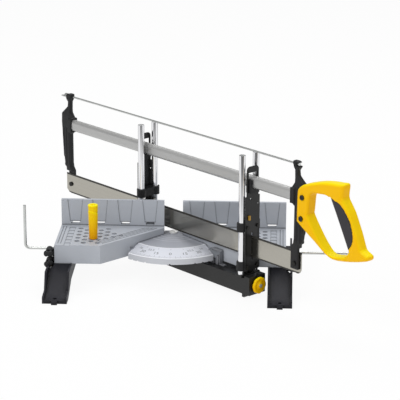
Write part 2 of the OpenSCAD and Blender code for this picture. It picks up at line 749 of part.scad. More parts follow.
// Pivot: bolt through the quadrant, the bridge plate, a washer and the beam, with a nut below
beam_under = beam_drop + beam_t;
module pivot_bolt() color("lightgray") at_deck() {
    l = beam_under + pivot_nut_h + pivot_fit - face_drop;
    translate([0, 0, -face_drop - l]) cylinder(d = pivot_d, h = l + eps);
    intersection() {
        translate([0, 0, -face_drop]) cylinder(d = pivot_head_d, h = pivot_head_h);
        translate([0, 0, -face_drop + pivot_head_h - pivot_head_d]) sphere(r = pivot_head_d, $fn = 64);
    }
}
module pivot_washer() color("silver") at_deck() translate([0, 0, -beam_drop]) difference() {
    cylinder(d = pivot_washer_d, h = beam_drop - table_h - bridge_t);
    translate([0, 0, -eps]) cylinder(d = pivot_d + 2 * run_fit, h = beam_drop);
}
module pivot_nut() color("silver") at_deck() translate([0, 0, -beam_under - pivot_fit - pivot_nut_h])
    difference() {
        cylinder(d = pivot_nut_d, h = pivot_nut_h, $fn = 6);
        translate([0, 0, -eps]) cylinder(d = pivot_d + 2 * fixed_fit, h = pivot_nut_h + 2 * eps);
    }

// Swinging beam: a channel that is open below, with a foot under its front end
shoe_s = quadrant_r + shoe_gap;
module swing_beam() color("#303032") on_arm() difference() {
    union() {
        block([-beam_back_s, -beam_w / 2, -beam_drop - beam_h], [beam_front_s, beam_w / 2, -beam_drop]);
        block([beam_front_s - foot_l, -beam_w / 2, -beam_drop - beam_h - foot_h],
            [beam_front_s, beam_w / 2, -beam_drop - beam_h + eps]);
    }
    block([-beam_back_s + beam_t, -beam_w / 2 + beam_t, -beam_drop - beam_h - foot_h - eps],
        [beam_front_s - beam_t, beam_w / 2 - beam_t, -beam_under]);
    translate([0, 0, -beam_under - eps]) cylinder(d = pivot_d + 2 * run_fit, h = beam_t + 2 * eps);
    for (s = [front_post_s, -rear_post_s], n = base_bolts)
        translate([s, n, -beam_under - eps]) cylinder(d = screw_hole_d, h = beam_t + 2 * eps);
    for (s = [leaf_bolt_s, pointer_riser_s + pointer_foot_l / 2 + pointer_t])
        translate([s, 0, -beam_under - eps]) cylinder(d = small_hole_d, h = beam_t + 2 * eps);
    block([shoe_s - shoe_slack, -shoe_w / 2 - run_fit, -beam_under - eps],
        [shoe_s + shoe_l + seat_fit, shoe_w / 2 + run_fit, -beam_drop + eps]);
    translate([beam_front_s - beam_t - eps, 0, -stud_drop]) along_x(stud_d + 4 * seat_fit, beam_t + 2 * eps);
    for (n = housing_bolts) translate([beam_front_s - beam_t - eps, n, housing_bolt_z])
        along_x(small_hole_d, beam_t + 2 * eps);
}

// Post bases, posts and their screws
post_places = [-post_pitch / 2, post_pitch / 2];
module post_base(s) on_arm() translate([s, 0, -beam_drop]) difference() {
    block([-base_l / 2, -base_w / 2, 0], [base_l / 2, base_w / 2, base_h]);
    for (n = post_places) translate([0, n, -eps]) cylinder(d = post_d + 2 * fixed_fit, h = base_h + 2 * eps);
    for (n = base_bolts) translate([0, n, -eps]) cylinder(d = screw_hole_d, h = base_h + 2 * eps);
}
module front_post_base() color("#2c2c2e") post_base(front_post_s);
module rear_post_base() color("#2c2c2e") post_base(-rear_post_s);
module post(s, n) color("silver") on_arm() translate([s, n, -beam_drop])
    cylinder(d = post_d, h = beam_drop + post_top_z);
module front_left_post() post(front_post_s, post_places[0]);
module front_right_post() post(front_post_s, post_places[1]);
module rear_left_post() post(-rear_post_s, post_places[0]);
module rear_right_post() post(-rear_post_s, post_places[1]);
module base_screws() color("dimgray") on_arm() for (s = [front_post_s, -rear_post_s], n = base_bolts)
    translate([s, n, base_h - beam_drop]) pan_screw(screw_d, base_h + beam_t, base_head_d, screw_head_h);

// Lock: housing with a hood, knob, stud and the shoe that grips the quadrant's rim
module lock_housing() color("#2c2c2e") on_arm() difference() {
    union() {
        block([beam_front_s, -beam_w / 2, -beam_drop - beam_h],
            [housing_front_s, beam_w / 2, -beam_drop + housing_rise]);
        block([housing_front_s - hood_in, hood_n[0], -beam_drop],
            [housing_front_s + hood_l, hood_n[1], hood_top_z]);
    }
    translate([beam_front_s - eps, 0, -stud_drop]) along_x(stud_d + 2 * run_fit, housing_l + 2 * eps);
    translate([housing_front_s, 0, -stud_drop]) along_x(knob_d + 4 * seat_fit, hood_l + 2 * eps);
    for (n = housing_bolts) translate([beam_front_s - eps, n, housing_bolt_z])
        along_x(small_hole_d, housing_bore_l + eps);
}
module housing_screws() color("silver") on_arm() for (n = housing_bolts)
    translate([beam_front_s - beam_t, n, housing_bolt_z]) rotate([0, -90, 0])
        pan_screw(guide_bolt_d, beam_t + housing_l / 2, guide_head_d, guide_head_h);
module at_knob(s) on_arm() translate([s, 0, -stud_drop]) rotate([0, 90, 0]) children();
module lock_knob() color("#f2c200") at_knob(knob_back_s) difference() {
    cylinder(d = knob_d, h = knob_t, $fn = 96);
    translate([0, 0, -eps]) {
        for (k = [0 : knob_flutes - 1]) rotate([0, 0, (k + 0.5) * 360 / knob_flutes])
            translate([knob_d / 2 + flute_d / 2 - flute_depth, 0, 0])
                cylinder(d = flute_d, h = knob_t + 2 * eps);
        cylinder(d = stud_d + 2 * fixed_fit, h = knob_t - knob_wall + eps);
        cylinder(d = small_hole_d, h = knob_t + 2 * eps);
    }
}
module lock_stud() color("lightgray") at_knob(shoe_s + shoe_l + fixed_fit)
    cylinder(d = stud_d, h = knob_front_s - knob_wall - shoe_s - shoe_l - 2 * fixed_fit);
module knob_screw() color("lightgray") at_knob(knob_front_s)
    pan_screw(guide_bolt_d, knob_wall - fixed_fit, knob_screw_head_d, guide_head_h / 2);
module lock_shoe() color("dimgray") on_arm() block([shoe_s, -shoe_w / 2, -stud_drop - stud_d],
    [shoe_s + shoe_l, shoe_w / 2, -ring_drop - shoe_top_gap]);

// Index pointer over the ring, and the leaf spring whose bump drops into the rim's notches
ring_slope = (ring_drop - face_drop) / (quadrant_r - ring_r);
pointer_z = -ring_drop + (quadrant_r - pointer_reach_s) * ring_slope + pointer_gap;
pointer_back_s = pointer_riser_s + pointer_t;
module index_pointer() color("silver") on_arm() difference() {
    union() {
        block([pointer_riser_s, -pointer_w / 2, -beam_drop],
            [pointer_back_s + pointer_foot_l, pointer_w / 2, -beam_drop + pointer_t]);
        block([pointer_riser_s, -pointer_w / 2, -beam_drop], [pointer_back_s, pointer_w / 2, pointer_z]);
        translate([0, 0, pointer_z - pointer_t]) linear_extrude(pointer_t) polygon([
            [pointer_back_s, -pointer_w / 2], [pointer_back_s, pointer_w / 2],
            [pointer_reach_s + pointer_w, pointer_w / 2], [pointer_reach_s, 0],
            [pointer_reach_s + pointer_w, -pointer_w / 2]
        ]);
    }
    translate([pointer_riser_s + pointer_foot_l / 2 + pointer_t, 0, -beam_under])
        cylinder(d = small_hole_d, h = 2 * beam_t);
}
leaf_top_z = -rim_drop - leaf_gap;
module detent_leaf() color("lightgray") on_arm() difference() {
    union() {
        block([leaf_s[0], -leaf_w / 2, -beam_drop], [leaf_s[1], leaf_w / 2, -beam_drop + leaf_t]);
        translate([leaf_bump_s, -leaf_w / 2, leaf_top_z - leaf_bump_d / 2]) along_y(leaf_bump_d, leaf_w);
        block([leaf_bump_s - leaf_bump_d / 2, -leaf_w / 2, -beam_drop],
            [leaf_bump_s + leaf_bump_d / 2, leaf_w / 2, leaf_top_z - leaf_bump_d / 2]);
    }
    translate([leaf_bolt_s, 0, -beam_under]) cylinder(d = small_hole_d, h = 2 * beam_t);
}

// Carriages: drawn with the posts' middle at the frame's origin and the plate towards +X
module guide_places(n) for (side = [-1, 1], z = [upper_collar_z, -lower_collar_drop])
    translate([0, side * n, z]) children();
module plate_outline() {
    low = -plate_drop;
    translate([-plate_w / 2, low]) square([plate_w, plate_step_z - low]);
    translate([-plate_top_w / 2, low]) square([plate_top_w, plate_top_z - plate_corner_r - low]);
    translate([-plate_top_w / 2 + plate_corner_r, low])
        square([plate_top_w - 2 * plate_corner_r, plate_top_z - low]);
    for (side = [-1, 1]) translate([side * (plate_top_w / 2 - plate_corner_r), plate_top_z - plate_corner_r])
        circle(r = plate_corner_r);
}
module guide_plate() difference() {
    translate([plate_seat, 0, 0]) rotate([90, 0, 90]) linear_extrude(plate_t) plate_outline();
    block([plate_seat - eps, -window_w / 2, window_z[0]],
        [plate_seat + plate_t + eps, window_w / 2, window_z[1]]);
    block([plate_seat - eps, -blade_slot_w / 2, blade_slot_z[0]],
        [plate_seat + plate_t + eps, blade_slot_w / 2, blade_slot_z[1]]);
    translate([plate_seat - eps, 0, 0]) {
        guide_places(guide_bolt_n) along_x(small_hole_d, plate_t + 2 * eps);
        for (p = plate_holes) translate([0, p[0], p[1]]) along_x(plate_hole_d, plate_t + 2 * eps);
        translate([0, latch_n, latch_z]) along_x(latch_pin_d + 2 * run_fit, plate_t + 2 * eps);
    }
}
module collar(z, h) difference() {
    translate([0, 0, z - h / 2]) {
        for (n = post_places) translate([0, n, 0]) cylinder(r = collar_r, h = h);
        block([-post_d / 2, -post_pitch / 2, 0], [plate_seat, post_pitch / 2, h]);
    }
    block([plate_seat, -post_pitch, z - h], [plate_seat + collar_r, post_pitch, z + h]);
    for (n = post_places) translate([0, n, z - h]) cylinder(d = post_d + 2 * run_fit, h = 2 * h);
    for (n = [-guide_bolt_n, guide_bolt_n]) translate([plate_seat - guide_bolt_bite - screw_fit, n, z])
        along_x(small_hole_d, guide_bolt_bite + collar_r);
}
module tube_guide() difference() {
    block([plate_seat - guide_t * 2 / 3, -window_w / 2 + screw_fit, window_z[0] + screw_fit],
        [plate_seat + plate_t + guide_out, window_w / 2 - screw_fit, guide_top_z]);
    translate([plate_seat - guide_t, 0, tube_z]) rotate([90, 0, 90]) linear_extrude(3 * guide_t) {
        stadium(tube_w + 2 * guide_room, tube_h + 2 * guide_room);
        translate([-tube_w / 2 - guide_room, 0]) square([tube_w + 2 * guide_room, tube_h]);
    }
}
module guide_screws() translate([plate_seat + plate_t, 0, 0]) guide_places(guide_bolt_n)
    rotate([0, 90, 0]) pan_screw(guide_bolt_d, plate_t + guide_bolt_bite, guide_head_d, guide_head_h);
module at_front() on_arm() translate([front_post_s, 0, 0]) children();
module at_rear() on_arm() translate([-rear_post_s, 0, 0]) mirror([1, 0, 0]) children();
module front_guide_plate() color("#2b2b2d") at_front() guide_plate();
module rear_guide_plate() color("#2b2b2d") at_rear() guide_plate();
module front_upper_collar() color("#242426") at_front() collar(upper_collar_z, upper_collar_h);
module front_lower_collar() color("#242426") at_front() collar(-lower_collar_drop, lower_collar_h);
module rear_upper_collar() color("#242426") at_rear() collar(upper_collar_z, upper_collar_h);
module rear_lower_collar() color("#242426") at_rear() collar(-lower_collar_drop, lower_collar_h);
module front_tube_guide() color("#1f1f20") at_front() tube_guide();
module rear_tube_guide() color("#1f1f20") at_rear() tube_guide();
module front_guide_screws() color("#3a3a3c") at_front() guide_screws();
module rear_guide_screws() color("#3a3a3c") at_rear() guide_screws();
module lift_latch() color("#d9a300") at_front() translate([plate_seat, latch_n, latch_z]) {
    block([plate_t + latch_lift, -latch_w / 2, -latch_h / 2],
        [plate_t + latch_lift + latch_t, latch_w / 2, latch_h / 2]);
    along_x(latch_pin_d, plate_t + latch_lift + eps);
}

// Saw: drawn with the blade's middle at the frame's origin
module on_saw() on_arm() translate([saw_mid_s, 0, 0]) children();
module both_bolts(n, l, d) for (side = [-1, 1])
    translate([side * (bracket_in + blade_bolt_in), n, blade_bolt_z]) along_y(d, l);
module blade() color("#a9a595") on_saw() difference() {
    side_face([
        [-blade_l / 2, blade_h - blade_drop], [blade_l / 2, blade_h - blade_drop],
        [blade_l / 2, blade_corner - blade_drop], [blade_l / 2 - blade_corner, -blade_drop],
        [-blade_l / 2 + blade_corner, -blade_drop], [-blade_l / 2, blade_corner - blade_drop]
    ], blade_t);
    both_bolts(-bracket_t, 2 * bracket_t, blade_bolt_d + 2 * screw_fit);
}
tube_end = bracket_in + tube_in;
module back_tube() color("#a0a09e") on_saw() rotate([90, 0, 90]) translate([0, tube_z, -tube_end])
    difference() {
        linear_extrude(2 * tube_end) stadium(tube_w, tube_h);
        translate([0, 0, -eps])
            linear_extrude(2 * tube_end + 2 * eps) stadium(tube_w - 2 * tube_t, tube_h - 2 * tube_t);
    }
module bracket(side, hook) on_saw() difference() {
    scale([side, 1, 1]) translate([bracket_in, 0, 0]) {
        translate([0, 0, bracket_foot_z]) {
            side_face(scaled(bracket_share, bracket_w, bracket_h), bracket_t);
            translate([0, -side * (bracket_t / 2 + blade_t / 2 + screw_fit) / 2, 0])
                side_face(scaled(foot_share, bracket_w, bracket_h), bracket_t / 2 - blade_t / 2 - screw_fit);
        }
        block([0, -socket_w / 2, tube_z - socket_h / 2], [socket_l, socket_w / 2, tube_z + socket_h / 2]);
        if (hook) block([bracket_w / 2, -bracket_t / 2, lug_low_z],
            [bracket_w + lug_w, bracket_t / 2, lug_top_z]);
    }
    translate([side * (bracket_in - eps), 0, tube_z]) rotate([90, 0, 90]) mirror([0, 0, side < 0 ? 1 : 0])
        linear_extrude(tube_in + eps + seat_fit) stadium(tube_w + 2 * screw_fit, tube_h + 2 * screw_fit);
    translate([side * (bracket_in + bracket_w / 2) - bracket_w, 0, tension_z])
        along_x(tension_d + 2 * screw_fit, 2 * bracket_w);
    if (hook) block([side * (bracket_in + bracket_w * hook_share[0]), -bracket_t, tension_z - hook_h / 2],
        [side * (bracket_in + bracket_w), bracket_t, tension_z + hook_h / 2]);
    both_bolts(-2 * bracket_t, 4 * bracket_t, blade_bolt_d + 2 * screw_fit);
    handle_bolt_places() along_y(handle_bolt_d + 2 * screw_fit, 2 * handle_t);
}
module front_bracket() color("#333334") bracket(1, true);
module rear_bracket() color("#333334") bracket(-1, false);
module blade_screws() color("#1d1d1e") on_saw() for (side = [-1, 1])
    translate([side * (bracket_in + blade_bolt_in), 0, blade_bolt_z]) {
        head_n = side > 0 ? bracket_t / 2 : blade_t / 2;
        nut_n = side > 0 ? blade_t / 2 : bracket_t / 2;
        translate([0, -head_n - blade_head_h, 0]) along_y(blade_head_d, blade_head_h);
        translate([0, -head_n - blade_head_h / 2, 0]) along_y(blade_bolt_d, head_n + nut_n + blade_head_h);
        translate([0, nut_n, 0]) along_y(blade_head_d, blade_head_h);
    }
hook_u = bracket_in + bracket_w * hook_share[0];
rod_rear_u = bracket_in + bracket_w * hook_share[1];
module tension_rod() color("lightgray") on_saw() translate([-rod_rear_u, 0, tension_z]) {
    along_x(tension_d, rod_rear_u + hook_u + eps);
    translate([rod_rear_u + hook_u, 0, 0]) along_x(tension_head_d, tension_head_l);
}
nut_u = bracket_in + bracket_w * bracket_share[18][0];
module wing_nut() color("lightgray") on_saw() translate([-nut_u - seat_fit, 0, tension_z]) rotate([0, -90, 0])
    difference() {
        union() {
            cylinder(d = wing_hub_d, h = wing_t);
            rotate([90, 0, 90]) translate([0, wing_hub_l + wing_rise / 4, -tension_d / 4])
                linear_extrude(tension_d / 2) difference() {
                    scale(nut_wing_share) wing_face();
                    translate([0, wing_rise / 2]) circle(d = wing_hub_d / 2);
                }
        }
        translate([0, 0, -wing_rise]) cylinder(d = tension_d + 2 * run_fit, h = 3 * wing_rise);
    }

// Handle: stepped slabs of one outline, a hand hole, and a slot that straddles the bracket
handle_s = bracket_in + handle_lap;
module at_handle() translate([handle_s, 0, handle_z]) children();
module handle_bolt_places() at_handle() for (p = handle_bolts_share)
    translate([p[0] * handle_l, -handle_t, p[1] * handle_h]) children();
module handle_face(inset) difference() {
    offset(delta = -inset) polygon(scaled(handle_share, handle_l, handle_h));
    offset(delta = inset) polygon(scaled(hole_share, handle_l, handle_h));
    offset(delta = inset / 2) polygon(scaled(insert_share, handle_l, handle_h));
}
module handle() color("#ffcb08") on_saw() difference() {
    at_handle() for (step = handle_steps) rotate([90, 0, 0]) translate([0, 0, -step[1] * handle_t / 2])
        linear_extrude(step[1] * handle_t) handle_face(step[0]);
    translate([bracket_in, bracket_t / 2 + handle_fit, bracket_foot_z]) rotate([90, 0, 0])
        linear_extrude(bracket_t + 2 * handle_fit) offset(delta = handle_fit)
            polygon(scaled(bracket_share, bracket_w, bracket_h));
    block([handle_s - eps, -bracket_t / 2 - handle_fit, lug_low_z - handle_fit],
        [bracket_in + bracket_w + lug_w + handle_fit, bracket_t / 2 + handle_fit, lug_top_z + handle_fit]);
    handle_bolt_places() along_y(handle_bolt_d + 2 * screw_fit, 2 * handle_t);
}
module grip_insert() color("#363438") on_saw() at_handle()
    side_face(scaled(insert_share, handle_l, handle_h), handle_t - 2 * insert_inset);
module handle_screws() color("#2a2a2b") on_saw() handle_bolt_places() translate([0, handle_t / 2, 0]) {
    translate([0, -handle_head_h / 2, 0]) along_y(handle_bolt_d, handle_t + handle_head_h);
    for (y = [-handle_head_h, handle_t]) translate([0, y, 0]) along_y(handle_head_d, handle_head_h);
}

left_table();
right_table();
bridge_plate();
quadrant();
bridge_screws();
quadrant_screws();
left_leg();
right_leg();
leg_screws();
left_clamp_block();
right_clamp_block();
clamp_block_screws();
left_leg_lock();
right_leg_lock();
pivot_bolt();
pivot_washer();
pivot_nut();
left_stop_rod();
right_stop_rod();
left_stop_screw();
right_stop_screw();
cam_peg();
swing_beam();
front_post_base();
rear_post_base();
front_left_post();
front_right_post();
rear_left_post();
rear_right_post();
base_screws();
lock_housing();
housing_screws();
index_pointer();
detent_leaf();
lock_knob();
lock_stud();
knob_screw();
lock_shoe();
front_guide_plate();
front_upper_collar();
front_lower_collar();
front_tube_guide();
front_guide_screws();
lift_latch();
rear_guide_plate();
rear_upper_collar();
rear_lower_collar();
rear_tube_guide();
rear_guide_screws();
blade();
back_tube();
front_bracket();
rear_bracket();
blade_screws();
tension_rod();
wing_nut();
handle();
grip_insert();
handle_screws();
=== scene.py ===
import math

import bpy
import numpy as np
from mathutils import Matrix, Vector


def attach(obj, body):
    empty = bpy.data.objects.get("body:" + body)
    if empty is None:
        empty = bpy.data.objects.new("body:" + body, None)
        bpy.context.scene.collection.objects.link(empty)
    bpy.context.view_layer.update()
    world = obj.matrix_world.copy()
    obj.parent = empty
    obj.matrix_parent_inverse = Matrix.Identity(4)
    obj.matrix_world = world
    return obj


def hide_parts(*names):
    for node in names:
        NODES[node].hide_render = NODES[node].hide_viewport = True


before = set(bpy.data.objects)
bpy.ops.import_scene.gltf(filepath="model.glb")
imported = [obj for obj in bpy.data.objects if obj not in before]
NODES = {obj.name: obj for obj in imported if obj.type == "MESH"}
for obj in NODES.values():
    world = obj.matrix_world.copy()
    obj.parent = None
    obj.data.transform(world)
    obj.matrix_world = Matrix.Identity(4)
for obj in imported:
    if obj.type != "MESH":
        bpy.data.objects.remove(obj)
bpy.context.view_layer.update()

DIAGONAL = math.sqrt(0.5)
PIVOT = np.array((0.0, 50.0, 68.0))

# Places and sizes that the solids share with the surfaces here, in millimetres
SAW_MID = 7.0
BRACKET_IN = 258.5
BRACKET_FOOT_Z = 2.0
TUBE_Z = 116.6
QUADRANT_R = 102.5
RING_R = 70.0
RING_TOP_DROP = 12.5
RING_DROP = 20.0


def curved(points, per_side):
    """Closed curve through the points, per_side steps a side. Each side passes evenly from the parabola
    through its ends and the point before it to the parabola through its ends and the point after it."""
    p = np.asarray(points, float)
    t = np.arange(per_side)[None, :, None] / per_side
    a, b, c, d = (np.roll(p, k, axis=0)[:, None] for k in (1, 0, -1, -2))
    out = b + 0.5 * t * (c - a + t * (2 * a - 5 * b + 4 * c - d + t * (3 * (b - c) + d - a)))
    return out.reshape(-1, p.shape[1])


def outline_depth(x, z, outline):
    """Distance to a closed outline, above zero inside it: the least distance to its sides, signed by how
    many sides a level line from the point crosses."""
    a = outline[:, None, None]
    e = np.roll(outline, -1, axis=0)[:, None, None] - a
    dx, dz = x - a[..., 0], z - a[..., 1]
    t = np.clip((dx * e[..., 0] + dz * e[..., 1]) / (e**2).sum(-1), 0, 1)
    near = np.hypot(dx - t * e[..., 0], dz - t * e[..., 1]).min(axis=0)
    level = (dz < 0) != (dz < e[..., 1])
    slope = np.where(e[..., 1] == 0, 1, e[..., 1])
    crossed = (level & (dx < dz * e[..., 0] / slope)).sum(axis=0) % 2
    return np.where(crossed == 1, near, -near)


def rounded(edge, face, r):
    """Depth in a slab with rounded edges: the lesser of its two depths, and where both are under r, r
    less the distance to the middle of the edge's arc."""
    arc = r - np.hypot(r - edge, r - face)
    return np.where((edge < r) & (face < r), arc, np.minimum(edge, face))


def skin(depth, low, step):
    """Skin of the solid where depth is above zero, depth being sampled every step from low. A cell that the
    skin crosses gets one point, the mean of the places where its edges cross zero, and a sampling line that
    the skin crosses gets one face through the four cells around it."""
    solid = depth > 0
    shape = np.array(depth.shape) - 1
    total, count = np.zeros((*shape, 3)), np.zeros(shape)
    for axis in range(3):
        first = [slice(None)] * 3
        last = [slice(None)] * 3
        first[axis], last[axis] = slice(0, -1), slice(1, None)
        f0, f1 = depth[tuple(first)], depth[tuple(last)]
        crossed = (f0 > 0) != (f1 > 0)
        part = np.where(crossed, f0 / np.where(f0 == f1, 1, f0 - f1), 0)
        p, q = [k for k in range(3) if k != axis]
        for i in (0, 1):
            for j in (0, 1):
                at = [slice(None)] * 3
                at[p], at[q] = slice(i, i + shape[p]), slice(j, j + shape[q])
                hit = crossed[tuple(at)]
                count += hit
                total[..., axis] += part[tuple(at)]
                total[..., p] += hit * i
                total[..., q] += hit * j
    used = count > 0
    number = np.full(shape, -1)
    number[used] = np.arange(used.sum())
    points = np.asarray(low) + step * (np.argwhere(used) + total[used] / count[used][:, None])
    faces = []
    for axis in range(3):
        p, q = (axis + 1) % 3, (axis + 2) % 3
        first = [slice(1, -1)] * 3
        last = [slice(1, -1)] * 3
        first[axis], last[axis] = slice(0, -1), slice(1, None)
        lower, upper = solid[tuple(first)], solid[tuple(last)]
        for hit, order in ((lower & ~upper, 1), (upper & ~lower, -1)):
            cell = np.argwhere(hit)
            corners = []
            for i, j in ((0, 0), (1, 0), (1, 1), (0, 1))[::order]:
                c = cell.copy()
                c[:, p] += i
                c[:, q] += j
                corners.append(number[c[:, 0], c[:, 1], c[:, 2]])
            faces.append(np.stack(corners, axis=1))
    return points, np.concatenate(faces)


def samples(low, high, step):
    """Coordinates of a box of points every step from low to past high, as three arrays that broadcast."""
    s, n, z = (np.arange(a, b + step, step) for a, b in zip(low, high))
    return s[:, None, None], n[None, :, None], z[None, None, :]


def grid_faces(rows, cols):
    """Faces of a grid of points that is closed round its columns."""
    r, c = (v.ravel() for v in np.meshgrid(np.arange(rows - 1), np.arange(cols), indexing="ij"))
    r2, c2 = r + 1, (c + 1) % cols
    return np.stack((r * cols + c, r * cols + c2, r2 * cols + c2, r2 * cols + c), axis=1)


def turned(profile, segments, wave=None):
    """Surface of revolution about the third axis: each (radius, height) of the profile goes round a
    circle, its radius times wave(angle, radius, height) where given. The first and last radius are zero,
    so the ends are closed."""
    a = np.linspace(0, 2 * np.pi, segments, endpoint=False)
    r, h = (np.asarray(profile, float)[:, k][:, None] for k in (0, 1))
    scale = 1.0 if wave is None else wave(a[None, :], r, h)
    points = np.stack((r * scale * np.cos(a), r * scale * np.sin(a), h + 0 * a), axis=-1)
    return points.reshape(-1, 3), grid_faces(len(profile), segments)


def on_arm(p):
    """Points (s, n, z) of the swinging arm, in millimetres, as points of the shared frame in metres. s
    runs to the front right, n to the back right, and z up from the table."""
    s, n, z = p[..., 0], p[..., 1], p[..., 2]
    return (np.stack(((s + n) * DIAGONAL, (n - s) * DIAGONAL, z), axis=-1) + PIVOT) / 1000


def on_deck(p):
    """Points measured from the pivot at table height, in millimetres, as points of the shared frame in
    metres."""
    return (p + PIVOT) / 1000


def add_piece(name, points, faces, finish, body, covers):
    """Smooth mesh of these points and faces, riding on body and standing for the solids named in covers.
    Points that fall together, as at a pole, are joined."""
    mesh = bpy.data.meshes.new(name)
    mesh.from_pydata(points.tolist(), [], faces.tolist())
    mesh.validate()
    mesh.materials.append(finish)
    mesh.polygons.foreach_set("use_smooth", np.full(len(mesh.polygons), True))
    piece = bpy.data.objects.new(name, mesh)
    bpy.context.scene.collection.objects.link(piece)
    weld = piece.modifiers.new("weld", "WELD")
    weld.merge_threshold = 1e-6
    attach(piece, body)
    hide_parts(*covers)


def linear(hex_color):
    """Linear colour of a screen colour such as #9a9ca0."""
    c = np.array([int(hex_color[k : k + 2], 16) for k in (1, 3, 5)]) / 255
    return tuple(np.where(c <= 0.04045, c / 12.92, ((c + 0.055) / 1.055) ** 2.4)) + (1.0,)


def new_group(name, inputs, outputs):
    """Empty shader group; inputs and outputs give the name and the kind of each socket."""
    g = bpy.data.node_groups.new(name, "ShaderNodeTree")
    for way, sockets in (("INPUT", inputs), ("OUTPUT", outputs)):
        for socket, kind in sockets.items():
            g.interface.new_socket(socket, in_out=way, socket_type="NodeSocket" + kind)
    return g


def math_node(nodes, link, operation, *terms):
    """Output of one Math node; each term is a number or another node's output."""
    node = nodes.new("ShaderNodeMath")
    node.operation = operation
    for k, term in enumerate(terms):
        if isinstance(term, (int, float)):
            node.inputs[k].default_value = term
        else:
            link(term, node.inputs[k])
    return node.outputs[0]


def mix_node(nodes, link, share, first, second):
    """Output of one colour mix, first where share is 0 and second where it is 1; each is a colour or an
    output."""
    node = nodes.new("ShaderNodeMix")
    node.data_type = "RGBA"
    link(share, node.inputs["Factor"])
    for key, term in (("A", first), ("B", second)):
        if isinstance(term, tuple):
            node.inputs[key].default_value = term
        else:
            link(term, node.inputs[key])
    return node.outputs["Result"]


def fade_node(nodes, link, value, start, end, least=0.0, most=1.0):
    """Output that goes from least to most while value goes from start to end."""
    node = nodes.new("ShaderNodeMapRange")
    for key, level in (("From Min", start), ("From Max", end), ("To Min", least), ("To Max", most)):
        node.inputs[key].default_value = level
    link(value, node.inputs["Value"])
    return node.outputs["Result"]


def axes_of(nodes, link, kind="Object"):
    """The X, Y and Z of a point's place or, where kind is Normal, of its normal."""
    where, axes = nodes.new("ShaderNodeTexCoord"), nodes.new("ShaderNodeSeparateXYZ")
    link(where.outputs[kind], axes.inputs[0])
    return axes.outputs


def add_relief(nodes, link, height, deep, strength):
    """Bump on a material's surface where height varies, deep being its reach in metres."""
    relief = nodes.new("ShaderNodeBump")
    relief.inputs["Distance"].default_value = deep
    relief.inputs["Strength"].default_value = strength
    link(height, relief.inputs["Height"])
    link(relief.outputs["Normal"], nodes["Principled BSDF"].inputs["Normal"])


SURFACE = {"Color": "Color", "Roughness": "Float", "Height": "Float"}


def mottle_group():
    """Group that varies a colour and a roughness with two sizes of cloudy noise and gives a fine height
    for a bump."""
    g = new_group("soft_mottle", {"Light": "Color", "Dark": "Color", "Cloud": "Float", "Grain": "Float",
                                  "Gloss": "Float", "Spread": "Float"}, SURFACE)
    n, link = g.nodes, g.links.new
    given, out = n.new("NodeGroupInput"), n.new("NodeGroupOutput")
    where = n.new("ShaderNodeTexCoord")
    cloud, grain = n.new("ShaderNodeTexNoise"), n.new("ShaderNodeTexNoise")
    for noise, size, detail in ((cloud, "Cloud", 4.0), (grain, "Grain", 2.0)):
        noise.inputs["Detail"].default_value = detail
        link(where.outputs["Object"], noise.inputs["Vector"])
        link(given.outputs[size], noise.inputs["Scale"])
    clouds, grains = cloud.outputs["Fac"], grain.outputs["Fac"]
    link(mix_node(n, link, clouds, given.outputs["Dark"], given.outputs["Light"]), out.inputs["Color"])
    rough = math_node(n, link, "MULTIPLY_ADD", grains, given.outputs["Spread"], given.outputs["Gloss"])
    link(rough, out.inputs["Roughness"])
    link(math_node(n, link, "MULTIPLY_ADD", grains, 0.5, clouds), out.inputs["Height"])
    return g


def streak_group():
    """Group that varies a colour and a roughness with noise drawn out along the saw, as on drawn or
    ground metal. Stretch is how fine the noise is along the saw, across it and upwards."""
    g = new_group("drawn_streaks", {"Light": "Color", "Dark": "Color", "Stretch": "Vector", "Gloss": "Float",
                                    "Spread": "Float"}, SURFACE)
    n, link = g.nodes, g.links.new
    given, out = n.new("NodeGroupInput"), n.new("NodeGroupOutput")
    where, turn = n.new("ShaderNodeTexCoord"), n.new("ShaderNodeMapping")
    turn.inputs["Rotation"].default_value = (0, 0, math.radians(45))
    stretch = n.new("ShaderNodeVectorMath")
    stretch.operation = "MULTIPLY"
    noise = n.new("ShaderNodeTexNoise")
    noise.inputs["Scale"].default_value = 1.0
    noise.inputs["Detail"].default_value = 5.0
    link(where.outputs["Object"], turn.inputs["Vector"])
    link(turn.outputs["Vector"], stretch.inputs[0])
    link(given.outputs["Stretch"], stretch.inputs[1])
    link(stretch.outputs["Vector"], noise.inputs["Vector"])
    streaks = noise.outputs["Fac"]
    link(mix_node(n, link, streaks, given.outputs["Dark"], given.outputs["Light"]), out.inputs["Color"])
    rough = math_node(n, link, "MULTIPLY_ADD", streaks, given.outputs["Spread"], given.outputs["Gloss"])
    link(rough, out.inputs["Roughness"])
    link(streaks, out.inputs["Height"])
    return g


MOTTLE, STREAKS = mottle_group(), streak_group()


def finish_of(name, group, settings, bump, metal=0.0, **constants):
    """Material whose colour, roughness and bump come from the group with these settings. bump is its
    height in metres, and constants are fixed inputs of the material's shader."""
    mat = bpy.data.materials.new(name)
    mat.use_nodes = True
    nodes, link = mat.node_tree.nodes, mat.node_tree.links.new
    shader = nodes["Principled BSDF"]
    node = nodes.new("ShaderNodeGroup")
    node.node_tree = group
    for key, value in settings.items():
        node.inputs[key].default_value = value
    link(node.outputs["Color"], shader.inputs["Base Color"])
    link(node.outputs["Roughness"], shader.inputs["Roughness"])
    shader.inputs["Metallic"].default_value = metal
    for key, value in constants.items():
        shader.inputs[key.replace("_", " ")].default_value = value
    if bump:
        add_relief(nodes, link, node.outputs["Height"], bump, 0.6)
    return mat


